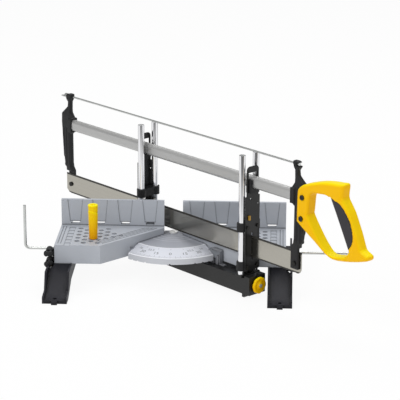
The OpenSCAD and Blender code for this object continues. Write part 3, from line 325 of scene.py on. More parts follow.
def mottled(name, light, dark, gloss, spread=0.1, cloud=40.0, grain=1500.0, bump=0.00006, metal=0.0,
            **constants):
    """Paint, plastic or plain metal with soft clouds between two tones and a fine grain."""
    settings = {"Light": linear(light), "Dark": linear(dark), "Cloud": cloud, "Grain": grain, "Gloss": gloss,
                "Spread": spread}
    return finish_of(name, MOTTLE, settings, bump, metal, **constants)


def streaked(name, light, dark, stretch, gloss, spread=0.15, metal=1.0):
    """Metal with streaks between two tones along the saw."""
    settings = {"Light": linear(light), "Dark": linear(dark), "Stretch": stretch, "Gloss": gloss,
                "Spread": spread}
    return finish_of(name, STREAKS, settings, 0.0, metal)


def shade_painted_finish(name, light, dark, crease_shade, reach, *gloss, **constants):
    """Finish with painted shade: its colour darkens in grooves and at the feet of steps, where little light
    reaches, as an occlusion test finds; reach is in metres."""
    mat = mottled(name, light, dark, *gloss, **constants)
    nodes, link = mat.node_tree.nodes, mat.node_tree.links.new
    # painted shade: the colour goes towards the dark shade colour where the occlusion test finds little open
    # space
    shade = nodes.new("ShaderNodeAmbientOcclusion")
    shade.samples = 8
    shade.inputs["Distance"].default_value = reach
    open_part = math_node(nodes, link, "POWER", shade.outputs["AO"], 2.0)
    tone = mix_node(nodes, link, open_part, linear(crease_shade), nodes["Group"].outputs["Color"])
    link(tone, nodes["Principled BSDF"].inputs["Base Color"])
    return mat


def yellow_painted_light_finish(name, shade_orange, lit_lemon, turn, foot=0.0, deep=0.001):
    """Yellow plastic with painted light: lemon painted light where it faces up, orange painted shade
    where it faces down, changing between the two upward parts of its normal in turn. Over deep metres
    up from the height foot, the lemon comes in."""
    mat = mottled(name, lit_lemon, lit_lemon, 0.3, 0.12, grain=1400.0, bump=0.00003, Specular_IOR_Level=0.12)
    nodes, link = mat.node_tree.nodes, mat.node_tree.links.new
    # painted light: upward faces get the lit lemon, downward faces the orange painted shade
    lit_share = fade_node(nodes, link, axes_of(nodes, link, "Normal")["Z"], *turn)
    rise = fade_node(nodes, link, axes_of(nodes, link)["Z"], foot, foot + deep)
    share = math_node(nodes, link, "MULTIPLY", lit_share, rise)
    tone = mix_node(nodes, link, share, linear(shade_orange), nodes["Group"].outputs["Color"])
    link(tone, nodes["Principled BSDF"].inputs["Base Color"])
    return mat


def blade_finish():
    """Polished strip steel with a dark band along its back and a dark toothed edge, both by height in
    metres."""
    back_from, teeth_to, dark, dark_rough = 0.0951, 0.066, "#2a2823", 0.3
    mat = streaked("blade_steel", "#b3b0a7", "#a5a299", (5.0, 900.0, 900.0), 0.14, 0.08)
    nodes, link = mat.node_tree.nodes, mat.node_tree.links.new
    shader, steel = nodes["Principled BSDF"], nodes["Group"]
    f = lambda operation, *terms: math_node(nodes, link, operation, *terms)
    z = axes_of(nodes, link)["Z"]
    band = f("MAXIMUM", f("GREATER_THAN", z, back_from), f("LESS_THAN", z, teeth_to))
    link(mix_node(nodes, link, band, steel.outputs["Color"], linear(dark)), shader.inputs["Base Color"])
    link(f("SUBTRACT", 1.0, band), shader.inputs["Metallic"])
    link(f("MULTIPLY_ADD", band, dark_rough, steel.outputs["Roughness"]), shader.inputs["Roughness"])
    return mat


def dial_group():
    """Group for the quadrant. Marks is 1 on a line at each degree of the ring, on a longer one at each
    fifth and on one further in at each fifteenth. Ring and Rim are 1 on the ring and on its rim, Ends
    rises towards the quadrant's two ends, and the lines mask is 1 on painted highlights along the ring's
    two edges and a half on light arcs of the cone inside it. Distances are from the pivot, in metres."""
    marks_out, degree_in, fifth_in = 0.0995, 0.0962, 0.0937
    fifteenth_out, fifteenth_in = 0.0765, 0.0722
    thin, thick, last_mark = 0.00013, 0.00018, 50
    ring_blur, rim_in = 0.4, QUADRANT_R / 1000 - 0.0007
    ends_from, ends_to = 15.0, 52.0
    arc_pitch, arc_half, arcs_mid, arcs_reach = 0.008, 0.0005, 0.03, 0.014
    inner_edge, inner_half = RING_R / 1000 + 0.0004, 0.0006
    outer_edge, outer_half = QUADRANT_R / 1000 - 0.0014, 0.0007
    masks = ("Ring", "Marks", "Grain", "Ends", "Rim", "Highlight_lines_and_arcs")
    g = new_group("dial_marks", {}, dict.fromkeys(masks, "Float"))
    n, link = g.nodes, g.links.new
    out = n.new("NodeGroupOutput")
    f = lambda operation, *terms: math_node(n, link, operation, *terms)
    where, axes = n.new("ShaderNodeTexCoord"), n.new("ShaderNodeSeparateXYZ")
    noise = n.new("ShaderNodeTexNoise")
    noise.inputs["Scale"].default_value = 1400.0
    link(where.outputs["Object"], axes.inputs[0])
    link(where.outputs["Object"], noise.inputs["Vector"])
    x, y = axes.outputs["X"], f("SUBTRACT", PIVOT[1] / 1000, axes.outputs["Y"])
    r = f("SQRT", f("ADD", f("MULTIPLY", x, x), f("MULTIPLY", y, y)))
    degrees = f("MULTIPLY", f("ARCTAN2", x, y), 180 / math.pi)
    aside = f("ABSOLUTE", degrees)

    def ticks(every, inner, outer, width):
        off = f("MULTIPLY", f("PINGPONG", degrees, every / 2), f("MULTIPLY", r, math.pi / 180))
        line = f("LESS_THAN", off, width)
        return f("MULTIPLY", line, f("MULTIPLY", f("GREATER_THAN", r, inner), f("LESS_THAN", r, outer)))

    marks = ticks(1, degree_in, marks_out, thin)
    marks = f("MAXIMUM", marks, ticks(5, fifth_in, marks_out, thick))
    marks = f("MAXIMUM", marks, ticks(15, fifteenth_in, fifteenth_out, thick))
    link(f("MULTIPLY", marks, f("LESS_THAN", aside, last_mark)), out.inputs["Marks"])
    ring = fade_node(n, link, r, (RING_R - ring_blur) / 1000, (RING_R + ring_blur) / 1000)
    link(f("MULTIPLY", ring, f("LESS_THAN", r, rim_in)), out.inputs["Ring"])
    link(noise.outputs["Fac"], out.inputs["Grain"])
    link(fade_node(n, link, aside, ends_from, ends_to), out.inputs["Ends"])
    link(f("GREATER_THAN", r, rim_in), out.inputs["Rim"])
    arcs = f("LESS_THAN", f("PINGPONG", r, arc_pitch / 2), arc_half)
    arcs = f("MULTIPLY", arcs, f("LESS_THAN", f("ABSOLUTE", f("SUBTRACT", r, arcs_mid)), arcs_reach))
    # painted highlights: light lines along the ring's inner edge and just inside its outer edge
    inner, outer = f("COMPARE", r, inner_edge, inner_half), f("COMPARE", r, outer_edge, outer_half)
    link(f("MAXIMUM", f("MULTIPLY", arcs, 0.5), f("MAXIMUM", inner, outer)), out.inputs["Highlight_lines_and_arcs"])
    return g


def dial_finish():
    """Paint of the quadrant: mid grey on the inner cone, pale on the ring, darker towards the ends,
    lighter on the rim, partly as a painted highlight, and on the painted highlight lines, with grey marks."""
    mat = bpy.data.materials.new("dial_paint")
    mat.use_nodes = True
    nodes, link = mat.node_tree.nodes, mat.node_tree.links.new
    shader, node = nodes["Principled BSDF"], nodes.new("ShaderNodeGroup")
    node.node_tree = dial_group()
    dial = node.outputs
    tone = mix_node(nodes, link, dial["Ring"], linear("#a9acb5"), linear("#e0e3ec"))
    # the rim's lighter tone is partly its own grey and partly a painted highlight; the lines are painted
    # highlights
    for mask, shade, share in (("Ends", "#6c6e76", 0.5), ("Rim", "#f2f4f8", 0.4), ("Highlight_lines_and_arcs", "#fafbff", 0.8)):
        part = math_node(nodes, link, "MULTIPLY", dial[mask], share)
        tone = mix_node(nodes, link, part, tone, linear(shade))
    link(mix_node(nodes, link, dial["Marks"], tone, linear("#74767e")), shader.inputs["Base Color"])
    link(math_node(nodes, link, "MULTIPLY_ADD", dial["Grain"], 0.16, 0.3), shader.inputs["Roughness"])
    add_relief(nodes, link, dial["Grain"], 0.00004, 0.5)
    return mat


FINISH = {
    # cast_paint carries painted shade in its grooves and at the feet of its steps
    "cast_paint": shade_painted_finish("cast_paint", "#b9bdc5", "#b0b5bd", "#2c2e34", 0.0022, 0.36, 0.16,
                                 grain=1800.0),
    "number_ink": mottled("number_ink", "#6a6c74", "#62646c", 0.4, 0.1, bump=0.0),
    "dial_paint": dial_finish(),
    "black_plastic": mottled("black_plastic", "#242425", "#1d1d1f", 0.42, 0.15, grain=2600.0,
                             Specular_IOR_Level=0.3),
    # leg_plastic carries painted shade in its crevices and at its toes
    "leg_plastic": shade_painted_finish("leg_plastic", "#25252c", "#1d1d23", "#08080a", 0.005, 0.45, 0.15,
                                  grain=2600.0, Specular_IOR_Level=0.25),
    "black_steel": mottled("black_steel", "#222222", "#181818", 0.3, 0.14, grain=900.0,
                           Specular_IOR_Level=0.35),
    "chrome": mottled("chrome", "#f0f0f2", "#e4e4e6", 0.03, 0.05, bump=0.0, metal=1.0),
    "bright_steel": mottled("bright_steel", "#d8dad8", "#c0c2c0", 0.16, 0.14, bump=0.0, metal=1.0),
    "tube_alloy": streaked("tube_alloy", "#cacac8", "#bababa", (4.0, 500.0, 500.0), 0.4, metal=0.85),
    "blade_steel": blade_finish(),
    "white_zinc": mottled("white_zinc", "#f4f4f2", "#e6e6e4", 0.3, 0.1, bump=0.0, metal=0.3),
    "grey_steel": mottled("grey_steel", "#8f9196", "#7f8186", 0.4, 0.12, bump=0.0, metal=0.2),
    "pale_steel": mottled("pale_steel", "#c3c6ba", "#aaae9f", 0.35, 0.15, bump=0.0, metal=0.2),
    "latch_paint": mottled("latch_paint", "#b98f2c", "#9d7620", 0.4, 0.15, bump=0.0),
    "dark_steel": mottled("dark_steel", "#2b2b29", "#201f1d", 0.35, 0.2, metal=0.6),
    # painted light on the yellow plastic: lemon on upward faces, orange painted shade on downward ones
    "yellow_plastic": yellow_painted_light_finish("yellow_plastic", "#ffc400", "#ffe800", (0.1, 1.0)),
    "peg_plastic": yellow_painted_light_finish("peg_plastic", "#ee9a00", "#fff000", (-0.7, 0.5), 0.06, 0.05),
    "grip_rubber": mottled("grip_rubber", "#3c3a3e", "#302e32", 0.55, 0.15, grain=1200.0, bump=0.0001,
                           Specular_IOR_Level=0.4),
    "bolt_black": mottled("bolt_black", "#3b3a36", "#262522", 0.3, 0.2, metal=0.4),
}

# Outlines of the saw's moulded pieces, in millimetres along the saw and above the table
HANDLE_EDGE = np.array([
    (281.7, 83.9), (282.4, 124), (284.4, 131), (289.5, 136.2), (298.5, 140.8), (316.6, 147), (332, 151.2),
    (347.3, 154), (362.1, 155.5), (373.9, 155.4), (372.7, 136.7), (378.4, 127.6), (386.3, 116.8),
    (394.3, 101.5), (402.2, 86), (409.1, 70.3), (412.5, 65.6), (423.2, 60.8), (424.7, 57.4), (421.6, 52.7),
    (400.3, 46.2), (374.9, 40.7), (361.1, 39), (351.9, 39.5), (344.1, 42.3), (336.1, 46.1), (320.2, 56.3),
    (304.1, 65.7), (284.4, 78.2),
])
HOLE_EDGE = np.array([
    (305, 100), (307, 122), (309.5, 127.5), (315, 130.6), (328, 132.2), (338, 133.2), (345.5, 131.6),
    (352, 127.2), (386.1, 62.6), (386.3, 57.5), (383, 52), (375, 48), (355.8, 44.3), (348.1, 45.1),
    (340.1, 50.3), (325.5, 65.7), (305.6, 92.4),
])
PAD_EDGE = np.array([
    (352, 127.2), (359.5, 129.4), (370.1, 126.4), (380.9, 116.5), (389, 104.6), (394.6, 90.7), (395.9, 79.5),
    (393.3, 69.8), (387.5, 62.8), (386.1, 62.6),
])
BRACKET_EDGE = np.array([
    (3, 168), (2.9, 164), (6, 155), (6.8, 135), (0, 124.5), (0, 104.5), (6.6, 98.4), (6.4, 41), (2, 35),
    (1.7, 32), (1.7, 0), (17.1, 0), (17.4, 32), (17.9, 39), (22.3, 42), (24.5, 59), (28.5, 118),
    (27.9, 132.6), (13.7, 146), (12.9, 154), (15.9, 159.6), (15.9, 165.5), (11.4, 168),
])
BOLT_PLACES = ((294.1, 119.5), (292.4, 86.5))


def handle_depths(step=1.2):
    """Samples round the grip and, on them, the depths of the whole grip with its hole cut out, of the pad's
    outline and of the bracket's outline. The grip is a slab thinned towards the rear horn."""
    half, thin_from, thin_over, thinned, outer_r, hole_r = 9.95, 390, 30, 1.4, 5.0, 4.5
    low, high = (278.0, -12.0, 35.0), (428.0, 12.0, 159.0)
    s, n, z = samples(low, high, step)
    flat_s, flat_z = s[:, 0], z[0]
    outer = outline_depth(flat_s, flat_z, curved(HANDLE_EDGE, 3))[:, None, :]
    hole = -outline_depth(flat_s, flat_z, curved(HOLE_EDGE, 3))[:, None, :]
    pad = outline_depth(flat_s, flat_z, curved(PAD_EDGE, 3))[:, None, :]
    bracket = outline_depth(flat_s - SAW_MID - BRACKET_IN, flat_z - BRACKET_FOOT_Z, BRACKET_EDGE)[:, None, :]
    thin = np.clip((s - thin_from) / thin_over, 0, 1)
    face = half - thinned * thin**2 * (3 - 2 * thin) - np.abs(n)
    body = np.minimum(rounded(outer, face, outer_r), rounded(hole, face, hole_r))
    return s, n, z, low, step, body, pad, bracket


def make_handle():
    """Handle of two pieces: the yellow shell, cut out where the bracket and its lug lie and dished round
    the bolt heads, and the dark pad set into the grip."""
    lug_end, lug_mid_z, lug_half_h = 301.7, 103.0, 25.2
    slot_half, slot_room, dish_r, dish_floor, seam, pad_proud = 5.2, 0.2, 4.4, 9.0, 0.15, 0.1
    s, n, z, low, step, body, pad, bracket = handle_depths()
    lug = np.minimum(lug_end - s, lug_half_h - np.abs(z - lug_mid_z))
    slot = np.maximum(-np.maximum(bracket + slot_room, lug), np.abs(n) - slot_half)
    recess = dish_r - np.minimum(*(np.hypot(s - a, z - b) for a, b in BOLT_PLACES))
    dish = np.minimum(recess, np.abs(n) - dish_floor)
    shell = np.minimum(np.minimum(body, slot), np.minimum(-dish, -seam - pad))
    points, faces = skin(shell, low, step)
    add_piece("handle_shell", on_arm(points), faces, FINISH["yellow_plastic"], "saw", ["handle"])
    points, faces = skin(np.minimum(body + pad_proud, pad - seam), low, step)
    add_piece("grip_pad", on_arm(points), faces, FINISH["grip_rubber"], "saw", ["grip_insert"])


def make_bolts():
    """Two socket-head bolts through the handle: a turned head with a six-sided recess, at each end of a
    shank."""
    shank_r, head_r, seat, top, key_r, key_floor = 2.5, 3.9, 9.2, 11.6, 2.2, 10.2
    head = np.array([
        (0, -9), (shank_r, -9), (shank_r, seat), (head_r, seat), (head_r, top - 0.5), (head_r - 0.5, top),
        (key_r, top), (key_r - 0.2, key_floor), (0, key_floor),
    ])
    rim = lambda a, r, h: np.where((h > 10) & (r < 3), 1 + 0.09 * np.cos(6 * a), 1.0)
    parts, faces, base = [], [], 0
    for at_s, at_z in BOLT_PLACES:
        for side in (1, -1):
            p, f = turned(head, 36, rim)
            p = np.stack((at_s + p[:, 0], side * p[:, 2], at_z - side * p[:, 1]), axis=1)
            parts.append(p)
            faces.append(f + base)
            base += len(p)
    points, faces = on_arm(np.concatenate(parts)), np.concatenate(faces)
    add_piece("handle_bolts", points, faces, FINISH["bolt_black"], "saw", ["handle_screws"])


def bracket_depth(side, u, n, z):
    """Depth of a bracket; u runs outwards from its inner side and z up from its foot. It is a rounded
    slab with long grooves in its shaft and a thinner neck, a sleeve round the back tube, and a foot of
    half the slab's thickness, on one side of the blade."""
    half, edge_r, foot_top, blade_side, far = 4.9, 1.8, 34, 0.6, 99
    groove_deep, groove_pitch, groove_from = 1.3, 6.8, 6.5
    groove_low, groove_high, groove_run = 42, 112, 6
    neck_deep, neck_low, neck_high, low_run, high_run = 1.4, 130, 158, 12, 4
    sleeve_l, sleeve_half_h, sleeve_half_w, sleeve_r = 9.5, 12.4, 7.4, 2.0
    bore_l, bore_flat, bore_r = 8.4, 4.25, 5.6
    edge = outline_depth(u[:, 0], z[0], BRACKET_EDGE)[:, None, :]
    shaft = np.clip(np.minimum(z - groove_low, groove_high - z) / groove_run, 0, 1)
    wave = np.sin((u - groove_from) * 2 * np.pi / groove_pitch)
    grooves = groove_deep * shaft * np.clip(1.6 * wave, 0, 1)
    neck = neck_deep * np.clip((z - neck_low) / low_run, 0, 1) * np.clip((neck_high - z) / high_run, 0, 1)
    slab = rounded(edge, half - grooves - neck - np.abs(n), edge_r)
    foot = np.where(z < foot_top, -side * n - blade_side, far)
    off_tube = np.abs(z - TUBE_Z + BRACKET_FOOT_Z)
    ends = np.minimum(u, sleeve_l - u)
    sleeve = rounded(np.minimum(ends, sleeve_half_h - off_tube), sleeve_half_w - np.abs(n), sleeve_r)
    bore = np.hypot(n, np.maximum(off_tube - bore_flat, 0)) - bore_r
    bore = np.where(u < bore_l, bore, far)
    return np.minimum(np.minimum(np.maximum(slab, sleeve), foot), bore)


def make_bracket(side, name, node, step=1.0):
    """Bracket at one end of the saw; the front one has a lug for the handle and an open hook for the rod."""
    lug_from, lug_to, lug_half, lug_mid_z, lug_half_h = 12, 35.3, 4.9, 101.0, 24.8
    rod_z, rod_hole_r, hook_half, hook_from = 163.3, 1.7, 2.5, 10.3
    low, high = (-2.0, -9.0, -2.0), (38.0, 9.0, 170.5)
    u, n, z = samples(low, high, step)
    depth = bracket_depth(side, u, n, z)
    if side > 0:
        lug_plane = np.minimum(lug_half - np.abs(n), lug_half_h - np.abs(z - lug_mid_z))
        lug = np.minimum(np.minimum(lug_to - u, u - lug_from), lug_plane)
        hook = np.maximum(np.abs(z - rod_z) - hook_half, hook_from - u)
        depth = np.minimum(np.maximum(depth, lug), hook)
    depth = np.minimum(depth, np.hypot(n, z - rod_z) - rod_hole_r)
    points, faces = skin(depth, low, step)
    u, n, z = points.T
    points = np.stack((SAW_MID + side * (BRACKET_IN + u), n, BRACKET_FOOT_Z + z), axis=1)
    if side < 0:
        faces = faces[:, ::-1]
    add_piece(name, on_arm(points), faces, FINISH["black_plastic"], "saw", [node])


def make_blade():
    """Blade: a strip whose lower edge is a row of teeth with upright fronts, with the front lower corner
    rounded and the rear one cut off."""
    back, front, top, low, half = -273.0, 287.0, 30.0, -4.8, 0.5
    pitch, deep, front_lean, corner_r = 1.6, 1.4, 0.15, 9
    teeth = np.arange(-264.0, 277.0, pitch)
    along = np.repeat(teeth, 2) + np.tile((0.0, front_lean), len(teeth))
    edge = np.stack((along, np.tile((low + deep, low), len(teeth))), axis=1)
    a = np.linspace(-np.pi / 2, 0, 10)
    corner_s, corner_z = front - corner_r, low + corner_r
    corner = np.stack((corner_s + corner_r * np.cos(a), corner_z + corner_r * np.sin(a)), axis=1)
    rear = [(front, top), (back, top), (back, 1.5), (back + 6.5, low + 0.8)]
    outline = np.concatenate((edge, corner, rear))
    count = len(outline)
    points = np.concatenate([np.insert(outline, 1, n, axis=1) for n in (-half, half)])
    k = np.arange(count)
    after = (k + 1) % count
    sides = np.stack((k, after, after + count, k + count), axis=1).tolist()
    mesh = bpy.data.meshes.new("toothed_blade")
    mesh.from_pydata(on_arm(points).tolist(), [], sides + [k[::-1].tolist(), (k + count).tolist()])
    mesh.materials.append(FINISH["blade_steel"])
    piece = bpy.data.objects.new("toothed_blade", mesh)
    bpy.context.scene.collection.objects.link(piece)
    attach(piece, "saw")
    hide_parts("blade")


def wing_head(span, rise, thick, hub):
    """Two-winged head about the third axis, from height 0 down to -thick. Its radius goes from hub to
    half of span by the cosine's size to the power 1.5, so that two lobes stand out; crosswise it is
    scaled by rise, less between the lobes. Its edges are rounded."""
    rows, cols = 13, 48
    t = np.linspace(0, np.pi, rows)[:, None]
    a = np.linspace(0, 2 * np.pi, cols, endpoint=False)[None, :]
    lobes = np.abs(np.cos(a))
    r = np.sin(t) ** 0.35 * (hub + (span / 2 - hub) * lobes**1.5)
    cross = np.clip(0.5 * rise / hub * (0.62 + 0.38 * lobes), 0.6, 1.3)
    height = -thick / 2 * (1 - np.cos(t)) + 0 * a
    points = np.stack((r * np.cos(a), r * np.sin(a) * cross, height), axis=-1)
    return points.reshape(-1, 3), grid_faces(rows, cols)


def make_side_screws():
    """Four black wing screws on the clamp blocks, each a plain shank and a two-winged head, about the Y
    axis. The upper ones hold the stop rods; the lower ones lock the legs and stand turned a little."""
    place_x, place_y, shank_r = 189.0, -102.2, 2.5
    kinds = (("rod_screw", "stop_screw", -13.0, 19.65, 0.0), ("leg_screw", "leg_lock", -29.4, 18.0, 0.49))
    for side, name in ((-1, "left"), (1, "right")):
        for kind, node, z, length, tilt in kinds:
            head, faces = wing_head(14.4, 10.6, 6.8, 4.3)
            c, s = math.cos(tilt), math.sin(tilt)
            x, y, h = head.T
            head = np.stack((c * x - s * y, s * x + c * y, h), axis=1)
            profile = [(0, -2), (shank_r, -2), (shank_r, length - 0.4), (shank_r - 0.4, length), (0, length)]
            shank, more = turned(profile, 32)
            x, y, h = np.concatenate((head, shank)).T
            p = np.stack((side * (place_x + x), place_y + h, z - y), axis=1)
            f = np.concatenate((faces, more + len(head)))
            if side < 0:
                f = f[:, ::-1]
            body = f"{name}_{kind}"
            add_piece(body + "_head", on_deck(p), f, FINISH["black_plastic"], body, [f"{name}_{node}"])


def make_knob():
    """Lock knob: a turned disc with eight shallow lobes, a chamfered rim, a ring-shaped hollow in its
    face and a boss."""
    seat_s, axis_z = 193.33, -46
    face = [
        (0, 0), (8.4, 0), (9.2, 0.4), (9.6, 2.2), (12.4, 2.6), (13.3, 3.3), (13.45, 4.4), (13.1, 5.6),
        (12.2, 6.3), (11.0, 6.6), (9.8, 6.5), (8.4, 5.9), (7.0, 5.5), (5.4, 5.7), (4.5, 6.5), (3.8, 7.0),
        (0, 7.0),
    ]
    lobes = lambda a, r, h: 1 - 0.055 * np.clip((r - 7) / 5, 0, 1) * (1 - np.abs(np.cos(4 * a + 0.4))) ** 1.2
    p, f = turned(face, 96, lobes)
    p = np.stack((seat_s + p[:, 2], p[:, 0], axis_z + p[:, 1]), axis=1)
    add_piece("lobed_knob", on_arm(p), f, FINISH["yellow_plastic"], "knob", ["lock_knob"])


def make_peg():
    """Cam peg: a tapered post, hollow from its top, on an offset spigot. One slanting groove runs round
    it below the top."""
    hole_x, hole_y, throw, throw_turn = -124.8, -65.0, 3.3, math.radians(-42)
    foot, top, foot_r, top_r, spigot_r = 0.2, 56.0, 6.5, 8, 4.0
    groove_z, groove_rise, groove_turn, groove_half, groove_reach = 44.0, 3.2, 2.4, 0.9, 6
    z = np.concatenate((np.linspace(foot, 54.4, 70), [55.2, 55.8, top]))
    rim = np.concatenate((np.zeros(70), [0.15, 0.6, 1.3]))
    outer = foot_r + (top_r - foot_r) * (z - foot) / (top - foot) - rim
    inside = [(3.9, top), (3.5, 55.6), (3.4, 42.0), (0, 42.0)]
    profile = np.concatenate(([(0, foot)], np.stack((outer, z), axis=1), inside))

    def groove(a, r, h):
        slant = h - groove_z - groove_rise * np.sin(a - groove_turn)
        mark = 0.05 * np.exp(-((slant / groove_half) ** 2)) + 0.02 * np.clip(slant, -1, 1)
        return np.where((r > 5) & (h > 30) & (h < 55), 1 - mark * (np.abs(slant) < groove_reach), 1.0)

    post, faces = turned(profile, 64, groove)
    post[:, 0] += hole_x + throw * math.cos(throw_turn)
    post[:, 1] += hole_y + throw * math.sin(throw_turn)
    spigot = [(0, -9), (spigot_r - 0.4, -9), (spigot_r, -8.4), (spigot_r, 0.4), (0, 0.4)]
    pin, more = turned(spigot, 40)
    pin[:, 0] += hole_x
    pin[:, 1] += hole_y
    points, faces = np.concatenate((post, pin)), np.concatenate((faces, more + len(post)))
    add_piece("peg_post", on_deck(points), faces, FINISH["peg_plastic"], "peg", ["cam_peg"])


def ease_edges(node, width):
    """Rounds the sharp edges of a solid by width and shades its curved faces smooth."""
    weld = node.modifiers.new("joined_points", "WELD")
    weld.merge_threshold = 1e-6
    bevel = node.modifiers.new("soft_edges", "BEVEL")
    bevel.width = width
    bevel.segments = 2
    bevel.limit_method = "ANGLE"
    bevel.angle_limit = math.radians(40)
    bevel.harden_normals = True
    even = node.modifiers.new("even_shading", "WEIGHTED_NORMAL")
    even.keep_sharp = False


def make_numbers():
    """Plain angle numbers on the ring, laid on its slope: each flat figure is bent from (x, y) to the
    radius and turn that they stand for, and lifted to the cone's height there."""
    slope = (RING_DROP - RING_TOP_DROP) / (QUADRANT_R - RING_R)
    rows = ((87.5, 9.4, (-45, -30, -15, 0, 15, 30, 45)), (80.0, 6.4, (-36, -22.5, 22.5, 36)))
    for row, size, places in rows:
        for place in places:
            text = bpy.data.curves.new("number", "FONT")
            text.body, text.size = f"{abs(place):g}", size
            text.align_x, text.align_y = "CENTER", "CENTER"
            text.resolution_u = 3
            flat = bpy.data.objects.new("number", text)
            mesh = bpy.data.meshes.new_from_object(flat)
            bpy.data.objects.remove(flat)
            p = np.empty(3 * len(mesh.vertices))
            mesh.vertices.foreach_get("co", p)
            p = p.reshape(-1, 3)
            r = row - p[:, 1]
            turn = math.radians(place) + p[:, 0] / row
            z = -RING_TOP_DROP - (r - RING_R) * slope + 0.06
            p = on_deck(np.stack((r * np.sin(turn), -r * np.cos(turn), z), axis=1))
            mesh.vertices.foreach_set("co", p.ravel())
            mesh.materials.clear()
            mesh.materials.append(FINISH["number_ink"])
            name = f"number_{place}".replace("-", "left_").replace(".", "_")
            piece = bpy.data.objects.new(name, mesh)
            bpy.context.scene.collection.objects.link(piece)
            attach(piece, "bed")


def dress_solids():
    """Finishes, rounded edges and smooth faces for the solids that keep their shape. The castings' edges
    are rounded less."""
    cast_ease, ease = 0.00015, 0.0004
    finishes = {
        "cast_paint": ["left_table", "right_table"],
        "dial_paint": ["quadrant"],
        "leg_plastic": ["left_leg", "right_leg"],
        "black_plastic": ["left_clamp_block", "right_clamp_block", "front_tube_guide", "rear_tube_guide",
                          "front_upper_collar", "front_lower_collar", "rear_upper_collar",
                          "rear_lower_collar"],
        "black_steel": ["swing_beam", "front_post_base", "rear_post_base", "lock_housing",
                        "front_guide_plate", "rear_guide_plate", "bridge_plate"],
        "chrome": ["front_left_post", "front_right_post", "rear_left_post", "rear_right_post"],
        "white_zinc": ["pivot_bolt"],
        "bright_steel": ["left_stop_rod", "right_stop_rod", "tension_rod", "wing_nut", "pivot_washer",
                         "pivot_nut", "bridge_screws", "quadrant_screws", "leg_screws",
                         "clamp_block_screws", "housing_screws"],
        "tube_alloy": ["back_tube"],
        "dark_steel": ["blade_screws", "front_guide_screws", "rear_guide_screws", "base_screws"],
        "grey_steel": ["index_pointer", "detent_leaf", "lock_stud", "lock_shoe"],
        "latch_paint": ["lift_latch"],
        "pale_steel": ["knob_screw"],
    }
    for finish, names in finishes.items():
        for name in names:
            node = NODES[name]
            node.data.materials.clear()
            node.data.materials.append(FINISH[finish])
            ease_edges(node, cast_ease if finish == "cast_paint" else ease)


def camera():
    """Camera at the photograph's place: its axes come from a fit to the object's straight edges and
    posts."""
    data = bpy.data.cameras.new("photo_camera")
    data.lens = 162.06
    data.sensor_width = 36.0
    data.clip_end = 30.0
    cam = bpy.data.objects.new("photo_camera", data)
    bpy.context.scene.collection.objects.link(cam)
    right, up = Vector((0.99900, 0.04469, 0.00449)), Vector((-0.01776, 0.30121, 0.95339))
    ahead = Vector((-0.04125, 0.95251, -0.30170))
    place = Matrix.Translation((0.16061, -2.68571, 0.97974))
    cam.matrix_world = place @ Matrix((right, up, -ahead)).transposed().to_4x4()
    bpy.context.scene.camera = cam


def lamp(name, place, aim, size, power):
    """Soft rectangular lamp at place, aimed at a point; power is in watts."""
    data = bpy.data.lights.new(name, "AREA")
    data.shape = "RECTANGLE"
    data.size, data.size_y = size
    data.energy = power
    light = bpy.data.objects.new(name, data)
    light.location = place
    light.rotation_euler = (Vector(aim) - Vector(place)).to_track_quat("-Z", "Y").to_euler()
    bpy.context.scene.collection.objects.link(light)


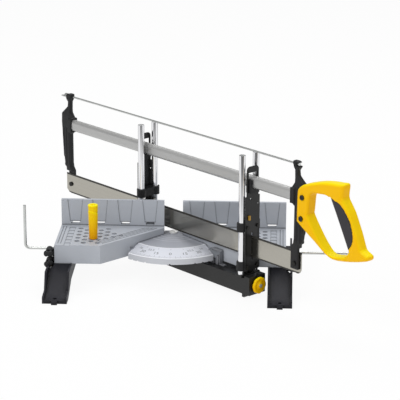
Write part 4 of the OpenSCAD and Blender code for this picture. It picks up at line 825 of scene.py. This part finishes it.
def studio():
    """White floor and surroundings and three soft lamps. The camera sees the floor glow white. Shiny
    surfaces see the glow fade before and behind the object, as dark bands, and other light meets a pale
    floor."""
    near_dark, near_bright, far_bright, far_dark, least_glow = -0.75, -0.4, 0.35, 0.9, 0.12
    glow_share, room_light, size = 0.93, 0.45, 12.0
    scene = bpy.context.scene
    scene.view_settings.view_transform = "Standard"
    mesh = bpy.data.meshes.new("floor")
    corners = [(-size, -size, 0), (size, -size, 0), (size, size, 0), (-size, size, 0)]
    mesh.from_pydata(corners, [], [(0, 1, 2, 3)])
    floor = bpy.data.objects.new("floor", mesh)
    scene.collection.objects.link(floor)
    mat = bpy.data.materials.new("pale_floor")
    mat.use_nodes = True
    nodes, link = mat.node_tree.nodes, mat.node_tree.links.new
    diffuse, glow = nodes.new("ShaderNodeBsdfDiffuse"), nodes.new("ShaderNodeEmission")
    mix, path = nodes.new("ShaderNodeMixShader"), nodes.new("ShaderNodeLightPath")
    diffuse.inputs["Color"].default_value = (0.9, 0.9, 0.9, 1)
    glow.inputs["Color"].default_value = (1, 1, 1, 1)
    y = axes_of(nodes, link)["Y"]
    before = fade_node(nodes, link, y, near_dark, near_bright, least_glow)
    behind = fade_node(nodes, link, y, far_dark, far_bright, least_glow)
    band = math_node(nodes, link, "MINIMUM", before, behind)
    link(math_node(nodes, link, "MAXIMUM", path.outputs["Is Camera Ray"], band), glow.inputs["Strength"])
    seen = math_node(nodes, link, "MAXIMUM", path.outputs["Is Camera Ray"], path.outputs["Is Glossy Ray"])
    link(math_node(nodes, link, "MULTIPLY", seen, glow_share), mix.inputs["Fac"])
    link(diffuse.outputs[0], mix.inputs[1])
    link(glow.outputs[0], mix.inputs[2])
    link(mix.outputs[0], nodes["Material Output"].inputs["Surface"])
    nodes.remove(nodes["Principled BSDF"])
    mesh.materials.append(mat)

    world = bpy.data.worlds.new("white_room")
    world.use_nodes = True
    scene.world = world
    nodes, link = world.node_tree.nodes, world.node_tree.links.new
    back = nodes["Background"]
    back.inputs["Color"].default_value = (1, 1, 1, 1)
    path = nodes.new("ShaderNodeLightPath")
    bright = fade_node(nodes, link, path.outputs["Is Camera Ray"], 0.0, 1.0, room_light)
    link(bright, back.inputs["Strength"])
    aim = (0, 0, 0.1)
    lamp("key", (-1.3, -1.5, 2.2), aim, (1.6, 1.6), 31)
    lamp("fill", (1.8, -1.6, 1.2), aim, (1.6, 1.6), 7)
    lamp("top", (0.2, 0.9, 2.4), aim, (1.8, 1.2), 26)


make_handle()
make_bolts()
make_bracket(1, "front_bracket_body", "front_bracket")
make_bracket(-1, "rear_bracket_body", "rear_bracket")
make_blade()
make_side_screws()
make_knob()
make_peg()
make_numbers()
dress_solids()
studio()
camera()
